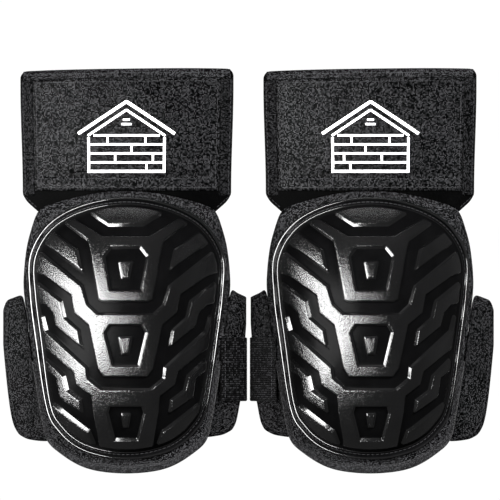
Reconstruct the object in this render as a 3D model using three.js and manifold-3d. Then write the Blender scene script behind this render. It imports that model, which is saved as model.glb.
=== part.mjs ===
// A pair of knee pads, mirrored about the plane x = 0, stored upright as they are worn.
// Each pad is written once, in a frame of its own: x points to the outer side of the leg,
// y points back towards the leg and z points up. The group pads holds both copies.
import * as THREE from "three";
import { mergeVertices } from "three/addons/utils/BufferGeometryUtils.js";
import Module from "manifold-3d";

const wasm = await Module();
wasm.setup();

// Driving dimensions, in millimetres.
const PAD_CENTRE = 95.2; // from the mid-plane to the vertical axis of each pad
const WRAP_RADIUS = 170; // the fabric lies round the leg on this radius
const GAP = 0.5; // clearance between layers that touch on the real pad
const FABRIC = 1.5;

const DOME_CENTRE = 12; // height of the crest of the shell above the shell's mid-height
const DOME_DEPTH = 40;
const SHELL_WALL = 4; // at the crest, measured along y
const RIM_WALL = 3; // at the edge of the shell
const PLATE_RISE = 2.4;
const STUD_RISE = 1.6;
const SPOKES = 28; // directions of the grid that all knee layers share
const SHELL_RINGS = [0, 0.3, 0.55, 0.75, 0.9, 1];

const FOAM_EDGE = 8; // thickness of the foam at the edge of the knee section
const CUP_DEPTH = 22; // depth of the hollow that the knee rests in
const CUP_FLAT = 0.3; // the share of the cup that is flat
const GEL_THICKNESS = 6;
const LINER = 2;
const BINDING_WIDTH = 2.4;
const BINDING_REACH = 2.45; // steps of the grid from the lowest point to each end

const FLAP_TOP = 202.6;
const FLAP_HALF = 83.6;
const FLAP_FOAM = 5;
const HEM_HEIGHT = 7;

const WING_THICKNESS = 5;
const WEB = 2; // thickness of the elastic webbing
const WEB_WIDTH = 50; // width of the elastic webbing
const BAND_MIDDLE = -32.2; // height of the middle of the calf strap
const THIGH_MIDDLE = 158; // height of the middle of the thigh strap
const STRAP_OPEN = 25; // degrees that each strap stands away from its catch at rest

const CLIP = { wall: 3, height: 58, bar: 4, slot: 6, reach: 32, lip: 8 };
const RING = { wall: 3, height: 58, bar: 4, opening: 11 };
const CLIP_LEAD = 22.2; // from the pivot of the clip to the first bar of the catch
const SLOT_GAP = 0.6; // between the edge of the webbing and the end of the slot

const PLATE_COLOUR = 0x101012;
const FABRIC_COLOUR = 0x232326;
const WEB_COLOUR = 0x1b1b1e;

function material(color, roughness, metalness = 0) {
  return new THREE.MeshStandardMaterial({ color, roughness, metalness });
}

const mirrored = (points) => [
  ...points,
  ...points
    .filter(([x]) => x > 0)
    .reverse()
    .map(([x, z]) => [-x, z]),
];

// ---- Solids

function toSolid(geometry) {
  const bare = geometry.clone();
  bare.deleteAttribute("normal");
  bare.deleteAttribute("uv");
  const merged = mergeVertices(bare, 1e-4);
  return new wasm.Manifold(
    new wasm.Mesh({
      numProp: 3,
      vertProperties: merged.attributes.position.array,
      triVerts: new Uint32Array(merged.index.array),
    }),
  );
}

function toGeometry(solid) {
  const mesh = solid.getMesh();
  const geometry = new THREE.BufferGeometry();
  geometry.setAttribute("position", new THREE.BufferAttribute(mesh.vertProperties, 3));
  geometry.setIndex(new THREE.BufferAttribute(mesh.triVerts, 1));
  return geometry;
}

// A closed solid from rows of front points and back points, each [x, y, z].
function sheet(front, back, closed) {
  const rows = front.length;
  const columns = front[0].length;
  const points = [...front.flat(), ...back.flat()];
  const index = [];
  const at = (side, row, column) => side * rows * columns + row * columns + (column % columns);
  const quad = (a, b, c, d) => index.push(a, b, c, a, c, d);
  const spans = closed ? columns : columns - 1;
  for (let row = 0; row < rows - 1; row++) {
    for (let column = 0; column < spans; column++) {
      const next = column + 1;
      quad(at(0, row, column), at(0, row + 1, column), at(0, row + 1, next), at(0, row, next));
      quad(at(1, row, column), at(1, row, next), at(1, row + 1, next), at(1, row + 1, column));
    }
  }
  for (let column = 0; column < spans; column++) {
    const next = column + 1;
    const last = rows - 1;
    quad(at(0, last, column), at(1, last, column), at(1, last, next), at(0, last, next));
    if (!closed) quad(at(0, 0, column), at(0, 0, next), at(1, 0, next), at(1, 0, column));
  }
  if (!closed) {
    for (let row = 0; row < rows - 1; row++) {
      const end = columns - 1;
      quad(at(0, row, 0), at(1, row, 0), at(1, row + 1, 0), at(0, row + 1, 0));
      quad(at(0, row, end), at(0, row + 1, end), at(1, row + 1, end), at(1, row, end));
    }
  }
  const geometry = new THREE.BufferGeometry();
  geometry.setAttribute("position", new THREE.Float32BufferAttribute(points.flat(), 3));
  geometry.setIndex(index);
  return withoutSlivers(geometry);
}

// Merges coinciding points and drops the triangles that this leaves without area.
function withoutSlivers(geometry) {
  const merged = mergeVertices(geometry, 1e-4);
  const corners = merged.index.array;
  const kept = [];
  for (let i = 0; i < corners.length; i += 3) {
    const [a, b, c] = [corners[i], corners[i + 1], corners[i + 2]];
    if (a !== b && b !== c && c !== a) kept.push(a, b, c);
  }
  merged.setIndex(kept);
  return merged;
}

// A prism along y from an outline of [x, z] points.
function prism(outline, yFront, yBack) {
  const shape = new THREE.Shape(outline.map(([x, z]) => new THREE.Vector2(x, z)));
  const geometry = new THREE.ExtrudeGeometry(shape, {
    depth: yBack - yFront,
    bevelEnabled: false,
  });
  geometry.rotateX(Math.PI / 2);
  geometry.translate(0, yBack, 0);
  return geometry;
}

// A prism along z from an outline of [x, y] points.
function column(outline, zLow, zHigh) {
  const shape = new THREE.Shape(outline.map(([x, y]) => new THREE.Vector2(x, y)));
  const geometry = new THREE.ExtrudeGeometry(shape, {
    depth: zHigh - zLow,
    bevelEnabled: false,
  });
  geometry.translate(0, 0, zLow);
  return geometry;
}

// Webbing that follows a path of [x, y] points and stands from zLow to zHigh.
function webbing(path, zLow, zHigh, steps, thickness = WEB) {
  const curve = new THREE.SplineCurve(path.map(([x, y]) => new THREE.Vector2(x, y)));
  const left = [];
  const right = [];
  for (let i = 0; i <= steps; i++) {
    const point = curve.getPoint(i / steps);
    const tangent = curve.getTangent(i / steps);
    const side = new THREE.Vector2(-tangent.y, tangent.x).multiplyScalar(thickness / 2);
    left.push([point.x + side.x, point.y + side.y]);
    right.unshift([point.x - side.x, point.y - side.y]);
  }
  return column([...left, ...right], zLow, zHigh);
}

function box(xLow, xHigh, yLow, yHigh, zLow, zHigh) {
  const geometry = new THREE.BoxGeometry(xHigh - xLow, yHigh - yLow, zHigh - zLow);
  geometry.translate((xLow + xHigh) / 2, (yLow + yHigh) / 2, (zLow + zHigh) / 2);
  return geometry;
}

// ---- Surfaces that the layers follow

const wrap = (x) => WRAP_RADIUS - Math.sqrt(WRAP_RADIUS ** 2 - x ** 2);

// The rise of a dome whose share t runs from 0 at the crest to 1 at the edge.
const domeRise = (t) => Math.pow(1 - Math.min(1, Math.pow(t, 2.4)), 0.75);

const shellFront = (x, t) => wrap(x) - RIM_WALL - DOME_DEPTH * domeRise(t);
const shellBack = (x, t) =>
  shellFront(x, t) + RIM_WALL + (SHELL_WALL - RIM_WALL) * domeRise(t);
const coverFront = (x, t) => shellBack(x, t) + GAP;
const coverBack = (x, t) => coverFront(x, t) + FABRIC;
const foamFront = (x, t) => coverBack(x, t) + GAP;

// The back of the foam: a cup for the knee with a flat floor.
function cup(x, t) {
  const edge = GAP + FABRIC + GAP + FOAM_EDGE;
  if (t <= CUP_FLAT) return edge - CUP_DEPTH * (1 - CUP_FLAT ** 2);
  return wrap(x) + edge - CUP_DEPTH * (1 - Math.min(1, t) ** 2);
}
const pocket = (x, t) => cup(x, t) - (t <= SHELL_RINGS[2] ? GEL_THICKNESS + GAP : 0);

// ---- Outlines, half of each from the top to the bottom, as [x, z]

const SHELL_HALF = [
  [0, 102.6], [34, 97.1], [61, 82.3], [76, 58], [76.6, 28], [72, -9.8],
  [63.1, -63.2], [53, -81.7], [38, -94], [19, -100.4], [0, -102.2],
];

const BODY_HALF = [
  [0, 105.5], [64, 105.5], [69, 92.5], [78, 63], [80.2, 43], [79.5, 26],
  [75.5, -10], [66.8, -63], [60.2, -85.8], [50, -94.5], [40.5, -101], [28.5, -106.3],
  [14, -108.8], [0, -109.6],
];

function smooth(half, samples = 160) {
  const points = mirrored(half).map(([x, z]) => new THREE.Vector3(x, z, 0));
  const curve = new THREE.CatmullRomCurve3(points, true, "centripetal");
  return curve.getPoints(samples).map((point) => [point.x, point.y]);
}

// The distance from the crest to a closed outline, along one direction.
function reach(outline, angle) {
  const [dx, dz] = [Math.cos(angle), Math.sin(angle)];
  let best = 0;
  outline.forEach(([x1, z1], i) => {
    const [x2, z2] = outline[(i + 1) % outline.length];
    const [ex, ez] = [x2 - x1, z2 - z1];
    const cross = dx * ez - dz * ex;
    if (Math.abs(cross) < 1e-9) return;
    const along = (x1 * ez - (z1 - DOME_CENTRE) * ex) / cross;
    const share = (x1 * dz - (z1 - DOME_CENTRE) * dx) / cross;
    if (share >= -1e-9 && share <= 1 + 1e-9) best = Math.max(best, along);
  });
  return best;
}

const SHELL_OUTLINE = smooth(SHELL_HALF);
const BODY_OUTLINE = mirrored(BODY_HALF);

// One ring of the shared grid: the points at share t of the shell, or at the body's edge.
function ring(t, yOf, outset = 0) {
  const points = [];
  for (let spoke = 0; spoke < SPOKES; spoke++) {
    const angle = (spoke / SPOKES) * 2 * Math.PI;
    const edge = t === "body" ? reach(BODY_OUTLINE, angle) : t * reach(SHELL_OUTLINE, angle);
    const radius = edge + outset;
    const x = radius * Math.cos(angle);
    const z = DOME_CENTRE + radius * Math.sin(angle);
    points.push([x, yOf(x, t === "body" ? 1 : t), z]);
  }
  return points;
}

function kneeLayer(rings, frontOf, backOf) {
  return sheet(
    rings.map((t) => ring(t, frontOf)),
    rings.map((t) => ring(t, backOf)),
    true,
  );
}

// A panel that follows the wrap between two edges, given as [x, zLow, zHigh] stations.
function wrapPanel(stations, offset, thickness) {
  const row = (pick, shift) => stations.map((station) => {
    const x = station[0];
    return [x, wrap(x) + shift, station[pick]];
  });
  const front = [row(2, offset), row(1, offset)];
  const back = [row(2, offset + thickness), row(1, offset + thickness)];
  return sheet(front, back, false);
}

const mirrorX = (stations) => stations.map(([x, low, high]) => [-x, low, high]).reverse();

const even = (low, high, steps) =>
  Array.from({ length: steps + 1 }, (_, i) => low + ((high - low) * i) / steps);

// ---- Relief of the shell. Side plates are given once and mirrored.

const CENTRE_PLATES = [
  [[0, 120], [50, 120], [50, 103], [33.2, 92], [13.7, 79.3], [0, 79.3]],
  [
    [0, 71.8], [17.5, 71.8], [43.3, 87.1], [62, 98], [66, 94], [29.6, 67.9], [28.2, 62.8],
    [20.9, 22.5], [17.7, 20.7], [0, 20.7],
  ],
  [
    [0, 12.2], [21, 12.2], [28.5, 19.3], [32.8, 33.5], [67.6, 61.4], [90, 79], [90, 50],
    [75, 45], [62.3, 40.6], [41.8, 26.1], [39.4, 12.2], [28.4, 2.8], [25.1, -12.9],
    [21.5, -30.8], [16.8, -37.4], [0, -37.4],
  ],
  [
    [0, -45.9], [18.6, -45.9], [28.3, -37.8], [29.2, -29.6], [60.6, -1.2], [63.4, 9.4],
    [68.9, 18], [90, 24], [90, -14], [66.9, -12.1], [40.1, -33.5], [38, -43.1],
    [26.7, -51.9], [25.5, -64.4], [20.7, -92.4], [19, -112], [0, -112],
  ],
];

const SIDE_PLATES = [
  [[36.9, 61.4], [58.4, 76.9], [72, 86.7], [84, 78], [66, 67], [52.6, 58.1], [33.1, 43.9]],
  [
    [49, 21.9], [70, 38], [90, 42], [90, 25], [75, 22], [61, 17.7], [56, 12], [53.5, 1.8],
    [32.8, -15.2], [35.3, -0.7], [46, 9],
  ],
  [
    [46.8, -36.3], [65.6, -18.3], [85, -22], [85, -36], [61.6, -32.5], [53.7, -38.5],
    [51.2, -53.4], [32.6, -66.1], [34.1, -54.9], [44.2, -47.4],
  ],
  [
    [56.2, -57.2], [59.7, -43], [80, -36], [80, -80], [50, -110], [27, -110], [23.4, -89.3],
    [27.5, -78.8], [31.1, -76.6],
  ],
];

const RECESSES = [
  [[10.8, 62.1], [15.8, 55.8], [11.2, 30.3]],
  [[11.8, 2.7], [15.2, -2.9], [9.3, -27.7]],
  [[12.1, -60.5], [13.4, -65], [8.4, -84.9]],
];
const STUDS = [
  [[5.7, 52.7], [3, 38.8]],
  [[5.3, -5.9], [2.8, -19.6]],
  [[3.9, -65.6], [2, -76.8]],
];

const wholePlate = (half) => {
  const side = half.filter(([x]) => x > 0);
  return [...side, ...[...side].reverse().map(([x, z]) => [-x, z])];
};

function shellGeometry() {
  const plateRings = SHELL_RINGS.filter((t) => t <= 0.9);
  const raised = (x, t) => shellFront(x, t) - PLATE_RISE;
  const plateLayer = toSolid(kneeLayer(plateRings, raised, (x, t) => shellFront(x, t) + 1));
  const cuts = [
    ...CENTRE_PLATES.map(wholePlate),
    ...SIDE_PLATES,
    ...SIDE_PLATES.map((plate) => plate.map(([x, z]) => [-x, z])),
  ];
  let shell = toSolid(kneeLayer(SHELL_RINGS, shellFront, shellBack));
  const front = -DOME_DEPTH - 20;
  cuts.forEach((outline) => {
    let plate = toSolid(prism(outline, front, 30)).intersect(plateLayer);
    RECESSES.forEach((recess) => {
      plate = plate.subtract(toSolid(prism(wholePlate(recess), front - 1, 31)));
    });
    shell = shell.add(plate);
  });
  const low = (x, t) => shellFront(x, t) - STUD_RISE;
  const studLayer = toSolid(kneeLayer(plateRings, low, (x, t) => shellFront(x, t) + 1));
  STUDS.forEach((stud) => {
    shell = shell.add(toSolid(prism(wholePlate(stud), front, 30)).intersect(studLayer));
  });
  const kneelingFace = -DOME_DEPTH - RIM_WALL - STUD_RISE;
  shell = shell.add(toSolid(prism(wholePlate(STUDS[1]), kneelingFace, kneelingFace + 3)));
  return toGeometry(shell);
}

// The edge tape runs round the lower edge from one wing to the other, outside the body's ring.
function bindingGeometry() {
  const middle = 0.75 * SPOKES;
  const stops = [-BINDING_REACH, -2, -1, 0, 1, 2, BINDING_REACH].map((step) => middle + step);
  const edge = ring("body", () => 0);
  const depth = GAP + FABRIC + GAP + FOAM_EDGE + LINER;
  const pointAt = (stop, outset) => {
    const [from, to] = [edge[Math.floor(stop)], edge[Math.ceil(stop)]];
    const share = stop - Math.floor(stop);
    const [x, z] = [from[0] + share * (to[0] - from[0]), from[2] + share * (to[2] - from[2])];
    const stretch = 1 + outset / Math.hypot(x, z - DOME_CENTRE);
    return [x * stretch, DOME_CENTRE + (z - DOME_CENTRE) * stretch];
  };
  const rows = [GAP, GAP + BINDING_WIDTH].map((outset) =>
    stops.map((stop) => pointAt(stop, outset)),
  );
  const at = (row, y) => row.map(([x, z]) => [x, wrap(x) + y, z]);
  return sheet(rows.map((row) => at(row, GAP)), rows.map((row) => at(row, depth)), false);
}

// ---- Flap

// The lower edge of the flap: straight above the knee section, with an ear at each side.
const FLAP_EDGE = [
  [0, 106.3], [22, 106.3], [44, 106.3], [65.6, 106.3],
  [70.6, 93.4], [77, 97.6], [81.4, 101], [83.6, 106],
];

function flapStations(half, top) {
  const inside = FLAP_EDGE.filter(([x]) => x < half - 1);
  const [last, next] = [inside[inside.length - 1], FLAP_EDGE[inside.length]];
  const share = (half - last[0]) / (next[0] - last[0]);
  const side = [...inside, [half, last[1] + share * (next[1] - last[1])]];
  const outer = side.map(([x, low]) => [x, low, top]);
  return [...mirrorX(outer.slice(1)), ...outer];
}

// ---- Wings, as [x, zLow, zHigh] stations from the seam outwards

const OUTER_WING = [
  [60.9, -88.4, -86.6], [67.6, -88.4, -63], [72, -88, -37], [76.3, -87.3, -10], [80.3, -86.4, 25.9],
  [85, -83.3, 25], [89.3, -75.8, 23.8], [91.9, -64.6, 22.8], [94.1, -45.9, 21.9],
  [96.4, -23.6, 19.5], [97.4, -10, 12],
];

const INNER_WING = [
  [60.9, -85.4, -84.4], [67.6, -84.8, -63], [72, -84.2, -37], [76.3, -83.4, -10], [80.3, -81.4, 28],
  [83.5, -78.4, 29.5], [86.6, -71.4, 27.4], [87.6, -62, 27], [88.4, -6, 26.6],
  [92.4, -6, 24.8], [94.2, 8, 22],
];

// ---- The closure: webbing, clip and catch, in the frame of the pad

// The strap runs from its seam round behind the leg to the bar of the clip, and hooks into
// the catch, whose first bar starts at [x, y].
function closure(seam, [catchX, catchY]) {
  const bar = [catchX - CLIP_LEAD, catchY + 3.8];
  const strap = [
    seam,
    [seam[0] + 16, seam[1] + 6.5],
    [-45, catchY + 5],
    [-20, catchY + 5.2],
    [bar[0] - 31, catchY + 3.4],
    [bar[0] - 12, catchY + 0.4],
    [bar[0] - 3.3, bar[1] - 4.7],
    [bar[0] + 1.7, bar[1] - 4.4],
    [bar[0] + 4.6, bar[1]],
    [bar[0] + 1.7, bar[1] + 4.4],
    [bar[0] - 1.3, bar[1] + 4.7],
  ];
  const tab = [
    [bar[0] - 2.1, bar[1] + 4.7],
    [bar[0] - 12, bar[1] + 4.4],
    [bar[0] - 31, bar[1] + 3.2],
    [bar[0] - 56, bar[1] + 4.6],
  ];
  return { bar, strap, tab };
}

function clipGeometry(middle, bar) {
  const [low, high] = [middle - CLIP.height / 2, middle + CLIP.height / 2];
  const yLow = bar[1] - CLIP.wall / 2;
  const yHigh = bar[1] + CLIP.wall / 2;
  const x0 = bar[0] - CLIP.bar / 2;
  const profile = [
    [x0, yLow],
    [x0 + CLIP.reach - CLIP.wall, yLow],
    [x0 + CLIP.reach - CLIP.wall, yHigh - CLIP.lip],
    [x0 + CLIP.reach, yHigh - CLIP.lip],
    [x0 + CLIP.reach, yHigh - 1],
    [x0 + CLIP.reach - 1, yHigh],
    [x0, yHigh],
  ];
  const rim = (CLIP.height - WEB_WIDTH) / 2 - SLOT_GAP;
  const slot = box(
    x0 + CLIP.bar, x0 + CLIP.bar + CLIP.slot, yLow - 1, yHigh + 1, low + rim, high - rim,
  );
  const notch = box(
    x0 + CLIP.reach - CLIP.wall - 1, x0 + CLIP.reach + 1, yHigh - CLIP.lip - 1, yLow,
    high - rim - 2, high + 1,
  );
  const lowNotch = notch.clone().translate(0, 0, -(CLIP.height - rim - 1));
  return toGeometry(
    toSolid(column(profile, low, high))
      .subtract(toSolid(slot))
      .subtract(toSolid(notch))
      .subtract(toSolid(lowNotch)),
  );
}

function catchGeometry(middle, [catchX, catchY]) {
  const [low, high] = [middle - RING.height / 2, middle + RING.height / 2];
  const end = catchX + 2 * RING.bar + RING.opening;
  const [yLow, yHigh] = [catchY - RING.wall / 2, catchY + RING.wall / 2];
  const opening = box(
    catchX + RING.bar, end - RING.bar, yLow - 1, yHigh + 1, low + RING.bar, high - RING.bar,
  );
  return toGeometry(
    toSolid(box(catchX, end, yLow, yHigh, low, high)).subtract(toSolid(opening)),
  );
}

// A short loop of webbing that is sewn to the back of the pad and holds the catch.
function catchLoop(middle, [catchX, catchY], backOf) {
  const bar = catchX + 1.5 * RING.bar + RING.opening;
  const path = [
    [bar + 13, backOf(bar + 13) + 1.4],
    [bar + 10, catchY - 3.4],
    [bar + 2, catchY - 3.2],
    [bar - 2.6, catchY - 2.6],
    [bar - 4, catchY],
    [bar - 2.6, catchY + 2.6],
    [bar + 2, catchY + 3.2],
    [bar + 8, catchY + 2],
    [bar + 10.5, catchY - 0.2],
  ];
  const halfWidth = RING.height / 2 - RING.bar - 1;
  return webbing(path, middle - halfWidth, middle + halfWidth, 18, 1.4);
}

// ---- Assembly of one pad. Each entry is a node: name, geometry, material, optional pivot.

const shellStuff = material(PLATE_COLOUR, 0.28);
const fabricStuff = material(FABRIC_COLOUR, 0.9);
const weaveStuff = material(0x2a2a2d, 0.85);
const webStuff = material(WEB_COLOUR, 0.8);
const foamStuff = material(0x3a3a3d, 0.95);
const gelStuff = material(0x5a8fb0, 0.35);
const clipStuff = material(0x141416, 0.4);

const turned = (geometry, [x, y], degrees) => {
  geometry.translate(-x, -y, 0);
  geometry.rotateZ(THREE.MathUtils.degToRad(degrees));
  geometry.translate(x, y, 0);
  return geometry;
};

function closureNodes(side, middle, seam, catchAt, backOf) {
  const { bar, strap, tab } = closure(seam, catchAt);
  const half = WEB_WIDTH / 2;
  const open = (geometry) => turned(geometry, seam, STRAP_OPEN);
  return [
    [`${side}_strap`, open(webbing(strap, middle - half, middle + half, 30)), webStuff],
    [`${side}_hook_tab`, open(webbing(tab, middle - half, middle + half, 6)), webStuff],
    [`${side}_clip`, open(clipGeometry(middle, bar)), clipStuff],
    [`${side}_catch`, catchGeometry(middle, catchAt), clipStuff],
    [`${side}_catch_loop`, catchLoop(middle, catchAt, backOf), webStuff],
  ];
}

const CALF_SEAM = [-90.2, 42];
const THIGH_SEAM = [-80, 32.5];
const CALF_CATCH = [60, 46];
const THIGH_CATCH = [50, 42];

function padNodes() {
  const allRings = [...SHELL_RINGS, "body"];
  const gelRings = SHELL_RINGS.slice(0, 3);
  const half = WEB_WIDTH / 2;
  const bandPath = [73.6, 78, 83, 87.5, 91.4].map((x) => [-x, wrap(x) - 1.3]);
  bandPath.push([-93, 28.6], [-93.1, 33], [-92.4, 37], [-91, 40.6]);
  const flapBack = GAP + 2 * FABRIC + FLAP_FOAM + 2 * GAP;
  const hemTop = FLAP_TOP - HEM_HEIGHT - 0.4;
  const sideBinding = [FLAP_HALF - 9.5, FLAP_HALF - 4.7, FLAP_HALF].map((x) => [
    x,
    99 + 0.3 * (x - 74),
    hemTop,
  ]);
  const onWing = (x) => wrap(x) + GAP + WING_THICKNESS;
  const onFlap = (x) => wrap(x) + flapBack;
  return [
    ["shell", shellGeometry(), shellStuff],
    ["front_cover", kneeLayer(allRings, coverFront, coverBack), fabricStuff],
    ["foam_core", kneeLayer(allRings, foamFront, pocket), foamStuff],
    ["gel_insert", kneeLayer(gelRings, (x, t) => cup(x, t) - GEL_THICKNESS, cup), gelStuff],
    [
      "knee_liner",
      kneeLayer(allRings, (x, t) => cup(x, t) + GAP, (x, t) => cup(x, t) + GAP + LINER),
      fabricStuff,
    ],
    ["lower_binding", bindingGeometry(), webStuff],
    ["flap_front", wrapPanel(flapStations(FLAP_HALF - 10, hemTop), GAP, FABRIC), weaveStuff],
    ["flap_outer_binding", wrapPanel(sideBinding, GAP, FABRIC), fabricStuff],
    ["flap_inner_binding", wrapPanel(mirrorX(sideBinding), GAP, FABRIC), fabricStuff],
    [
      "flap_top_hem",
      wrapPanel(even(-FLAP_HALF, FLAP_HALF, 10).map((x) => [x, hemTop + 0.4, FLAP_TOP]), GAP, FABRIC),
      fabricStuff,
    ],
    [
      "flap_foam",
      wrapPanel(flapStations(FLAP_HALF - 2, FLAP_TOP - 2), 2 * GAP + FABRIC, FLAP_FOAM),
      foamStuff,
    ],
    [
      "flap_lining",
      wrapPanel(flapStations(FLAP_HALF, FLAP_TOP), 3 * GAP + FABRIC + FLAP_FOAM, FABRIC),
      fabricStuff,
    ],
    ["outer_wing", wrapPanel(OUTER_WING, GAP, WING_THICKNESS), fabricStuff],
    ["inner_wing", wrapPanel(mirrorX(INNER_WING), GAP, WING_THICKNESS), fabricStuff],
    ["elastic_band", webbing(bandPath, BAND_MIDDLE - half, BAND_MIDDLE + half, 14), webStuff],
    ...closureNodes("calf", BAND_MIDDLE, CALF_SEAM, CALF_CATCH, onWing),
    ...closureNodes("thigh", THIGH_MIDDLE, THIGH_SEAM, THIGH_CATCH, onFlap),
  ];
}

// Turns a geometry into its mirror image about x = 0, with its faces still pointing out.
function mirrorGeometry(geometry) {
  const flipped = mergeVertices(geometry.clone().scale(-1, 1, 1), 1e-5);
  const corners = Array.from(flipped.index.array);
  for (let i = 0; i < corners.length; i += 3) {
    [corners[i + 1], corners[i + 2]] = [corners[i + 2], corners[i + 1]];
  }
  flipped.setIndex(corners);
  return flipped;
}

const pads = new THREE.Group();
const nodes = padNodes();
for (const side of ["left", "right"]) {
  const pad = new THREE.Group();
  pad.name = `${side}_pad`;
  pad.position.x = side === "left" ? -PAD_CENTRE : PAD_CENTRE;
  nodes.forEach(([name, geometry, stuff]) => {
    const bare = geometry.clone();
    bare.deleteAttribute("normal");
    bare.deleteAttribute("uv");
    const mesh = new THREE.Mesh(side === "left" ? mirrorGeometry(bare) : bare, stuff);
    mesh.name = `${side}_${name}`;
    pad.add(mesh);
  });
  pads.add(pad);
}

export default pads;
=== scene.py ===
"""The looks of a mirrored pair of knee pads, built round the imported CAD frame.

The row frame is in metres, +Z up and the front towards -Y. Every piece is written once for the right pad, in
that pad's own frame in millimetres: u runs to the outer side of the leg, y back towards the leg, z up. The
left pad is its mirror image.
"""

import math

import bpy
import numpy as np
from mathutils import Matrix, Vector
from mathutils.bvhtree import BVHTree
from mathutils.geometry import delaunay_2d_cdt

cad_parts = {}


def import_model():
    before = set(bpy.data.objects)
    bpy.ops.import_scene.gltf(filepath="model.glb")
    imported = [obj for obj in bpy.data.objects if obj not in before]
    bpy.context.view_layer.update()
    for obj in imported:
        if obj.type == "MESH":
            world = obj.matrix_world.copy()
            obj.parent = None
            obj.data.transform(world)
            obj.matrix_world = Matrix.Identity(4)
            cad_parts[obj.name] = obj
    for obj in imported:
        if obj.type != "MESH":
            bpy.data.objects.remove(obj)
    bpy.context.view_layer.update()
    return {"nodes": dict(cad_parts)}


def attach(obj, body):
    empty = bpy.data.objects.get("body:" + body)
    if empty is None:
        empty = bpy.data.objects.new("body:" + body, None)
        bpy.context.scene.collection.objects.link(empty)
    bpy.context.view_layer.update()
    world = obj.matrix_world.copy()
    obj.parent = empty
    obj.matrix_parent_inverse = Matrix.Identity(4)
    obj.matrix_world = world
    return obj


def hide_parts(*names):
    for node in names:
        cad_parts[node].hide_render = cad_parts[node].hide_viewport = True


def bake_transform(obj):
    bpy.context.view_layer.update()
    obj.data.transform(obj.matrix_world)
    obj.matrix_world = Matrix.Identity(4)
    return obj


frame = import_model()
scene = bpy.context.scene

MM = 0.001
SIDES = {"right": 1, "left": -1}  # the way of +u in x

# ---- Driving dimensions, in millimetres. They are the CAD model's own.
PAD_CENTRE = 95.2
WRAP_RADIUS = 170.0
CREST_Z = 12.0
DOME_DEPTH = 40.0
SHELL_WALL = 3.0
CUP_DEPTH = 22.0
FOAM_EDGE = 10.5
BAND_MIDDLE = -32.2
THIGH_MIDDLE = 158.0
WEB_WIDTH = 50.0
LOOP_WIDTH = 48.0
FLAP_TOP = 202.6
FLAP_HALF = 83.6
STRAP_OPEN = 25.0
CALF = {"seam": (-90.2, 42.0), "catch": (60.0, 46.0), "middle": BAND_MIDDLE}
THIGH = {"seam": (-80.0, 32.5), "catch": (50.0, 42.0), "middle": THIGH_MIDDLE}

SHELL_HALF = [
    (0, 102.6), (34, 97.1), (61, 82.3), (76, 58), (76.6, 28), (72, -9.8),
    (63.1, -63.2), (53, -81.7), (38, -94), (19, -100.4), (0, -102.2),
]
# The sewn outline of the knee section, whose top is an arch in front of the flap's foot.
BODY_HALF = [
    (0, 107), (16, 106.4), (30, 104.4), (45, 101), (57, 97.6), (65.5, 94.4), (70.4, 89.5),
    (74.6, 78), (78.4, 63), (80.6, 43), (80.4, 26), (75.5, -10), (66.8, -63), (61.5, -87),
    (52, -96), (42, -103), (30, -108.5), (15, -111.2), (0, -112),
]


def wrap(u):
    return WRAP_RADIUS - np.sqrt(WRAP_RADIUS**2 - np.asarray(u, float) ** 2)


def wrap_slope(u):
    u = np.asarray(u, float)
    return u / np.sqrt(WRAP_RADIUS**2 - u**2)


def smoothstep(low, high, x):
    t = np.clip((np.asarray(x, float) - low) / (high - low), 0, 1)
    return t * t * (3 - 2 * t)


def mirrored(half):
    points = list(half)
    return points + [(-u, z) for u, z in reversed(points) if u > 0]


def catmull(points, steps, closed=False):
    """A smooth curve through points, with steps points from each to the next."""
    points = np.asarray(points, float)
    ends = [points[-1:], points, points[:2]] if closed else [points[:1], points, points[-1:]]
    row = np.vstack(ends)
    t = (np.arange(steps) / steps)[:, None]
    spans = [b + 0.5 * ((c - a) * t + (2 * a - 5 * b + 4 * c - d) * t**2 + (3 * b - a - 3 * c + d) * t**3)
             for a, b, c, d in zip(row, row[1:], row[2:], row[3:])]
    return np.vstack(spans if closed else [*spans, points[-1:]])


def unit(vectors):
    vectors = np.asarray(vectors, float)
    return vectors / np.linalg.norm(vectors, axis=-1, keepdims=True)


def leftward(path):
    """The way to the left of a flat path, at each of its points."""
    along = unit(np.gradient(path, axis=0))
    return np.column_stack([-along[:, 1], along[:, 0]])


def resample(points, spacing, closed=False):
    """Points along a polyline at nearly even steps of about spacing."""
    points = np.asarray(points, float)
    if closed:
        points = np.vstack([points, points[:1]])
    lengths = np.r_[0, np.cumsum(np.linalg.norm(np.diff(points, axis=0), axis=1))]
    count = max(2, int(round(lengths[-1] / spacing)))
    at = np.linspace(0, lengths[-1], count + 1)
    if closed:
        at = at[:-1]
    return np.column_stack([np.interp(at, lengths, points[:, k]) for k in range(points.shape[1])])


SHELL_LINE = catmull(mirrored(SHELL_HALF), 24, closed=True)
BODY_LINE = catmull(mirrored(BODY_HALF), 6, closed=True)


def reach(line, angles):
    """Distance from the crest to a closed line of (u, z), along each angle."""
    corners = line - [0, CREST_Z]
    share = np.linspace(0, 1, 12, endpoint=False)[:, None]
    dense = np.vstack([a + (b - a) * share for a, b in zip(corners, np.roll(corners, -1, axis=0))])
    at, radius = np.arctan2(dense[:, 1], dense[:, 0]), np.hypot(dense[:, 0], dense[:, 1])
    order = np.argsort(at)
    at, radius = at[order], radius[order]
    turn = 2 * math.pi
    wrapped = (np.asarray(angles, float) + math.pi) % turn - math.pi
    return np.interp(wrapped, np.r_[at - turn, at, at + turn], np.tile(radius, 3))


def around(line, angles, inset=0.0):
    """(u, z) of points round a closed line, inset towards the crest."""
    radius = reach(line, angles) - inset
    return radius * np.cos(angles), CREST_Z + radius * np.sin(angles)


# ---- Mesh helpers


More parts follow.
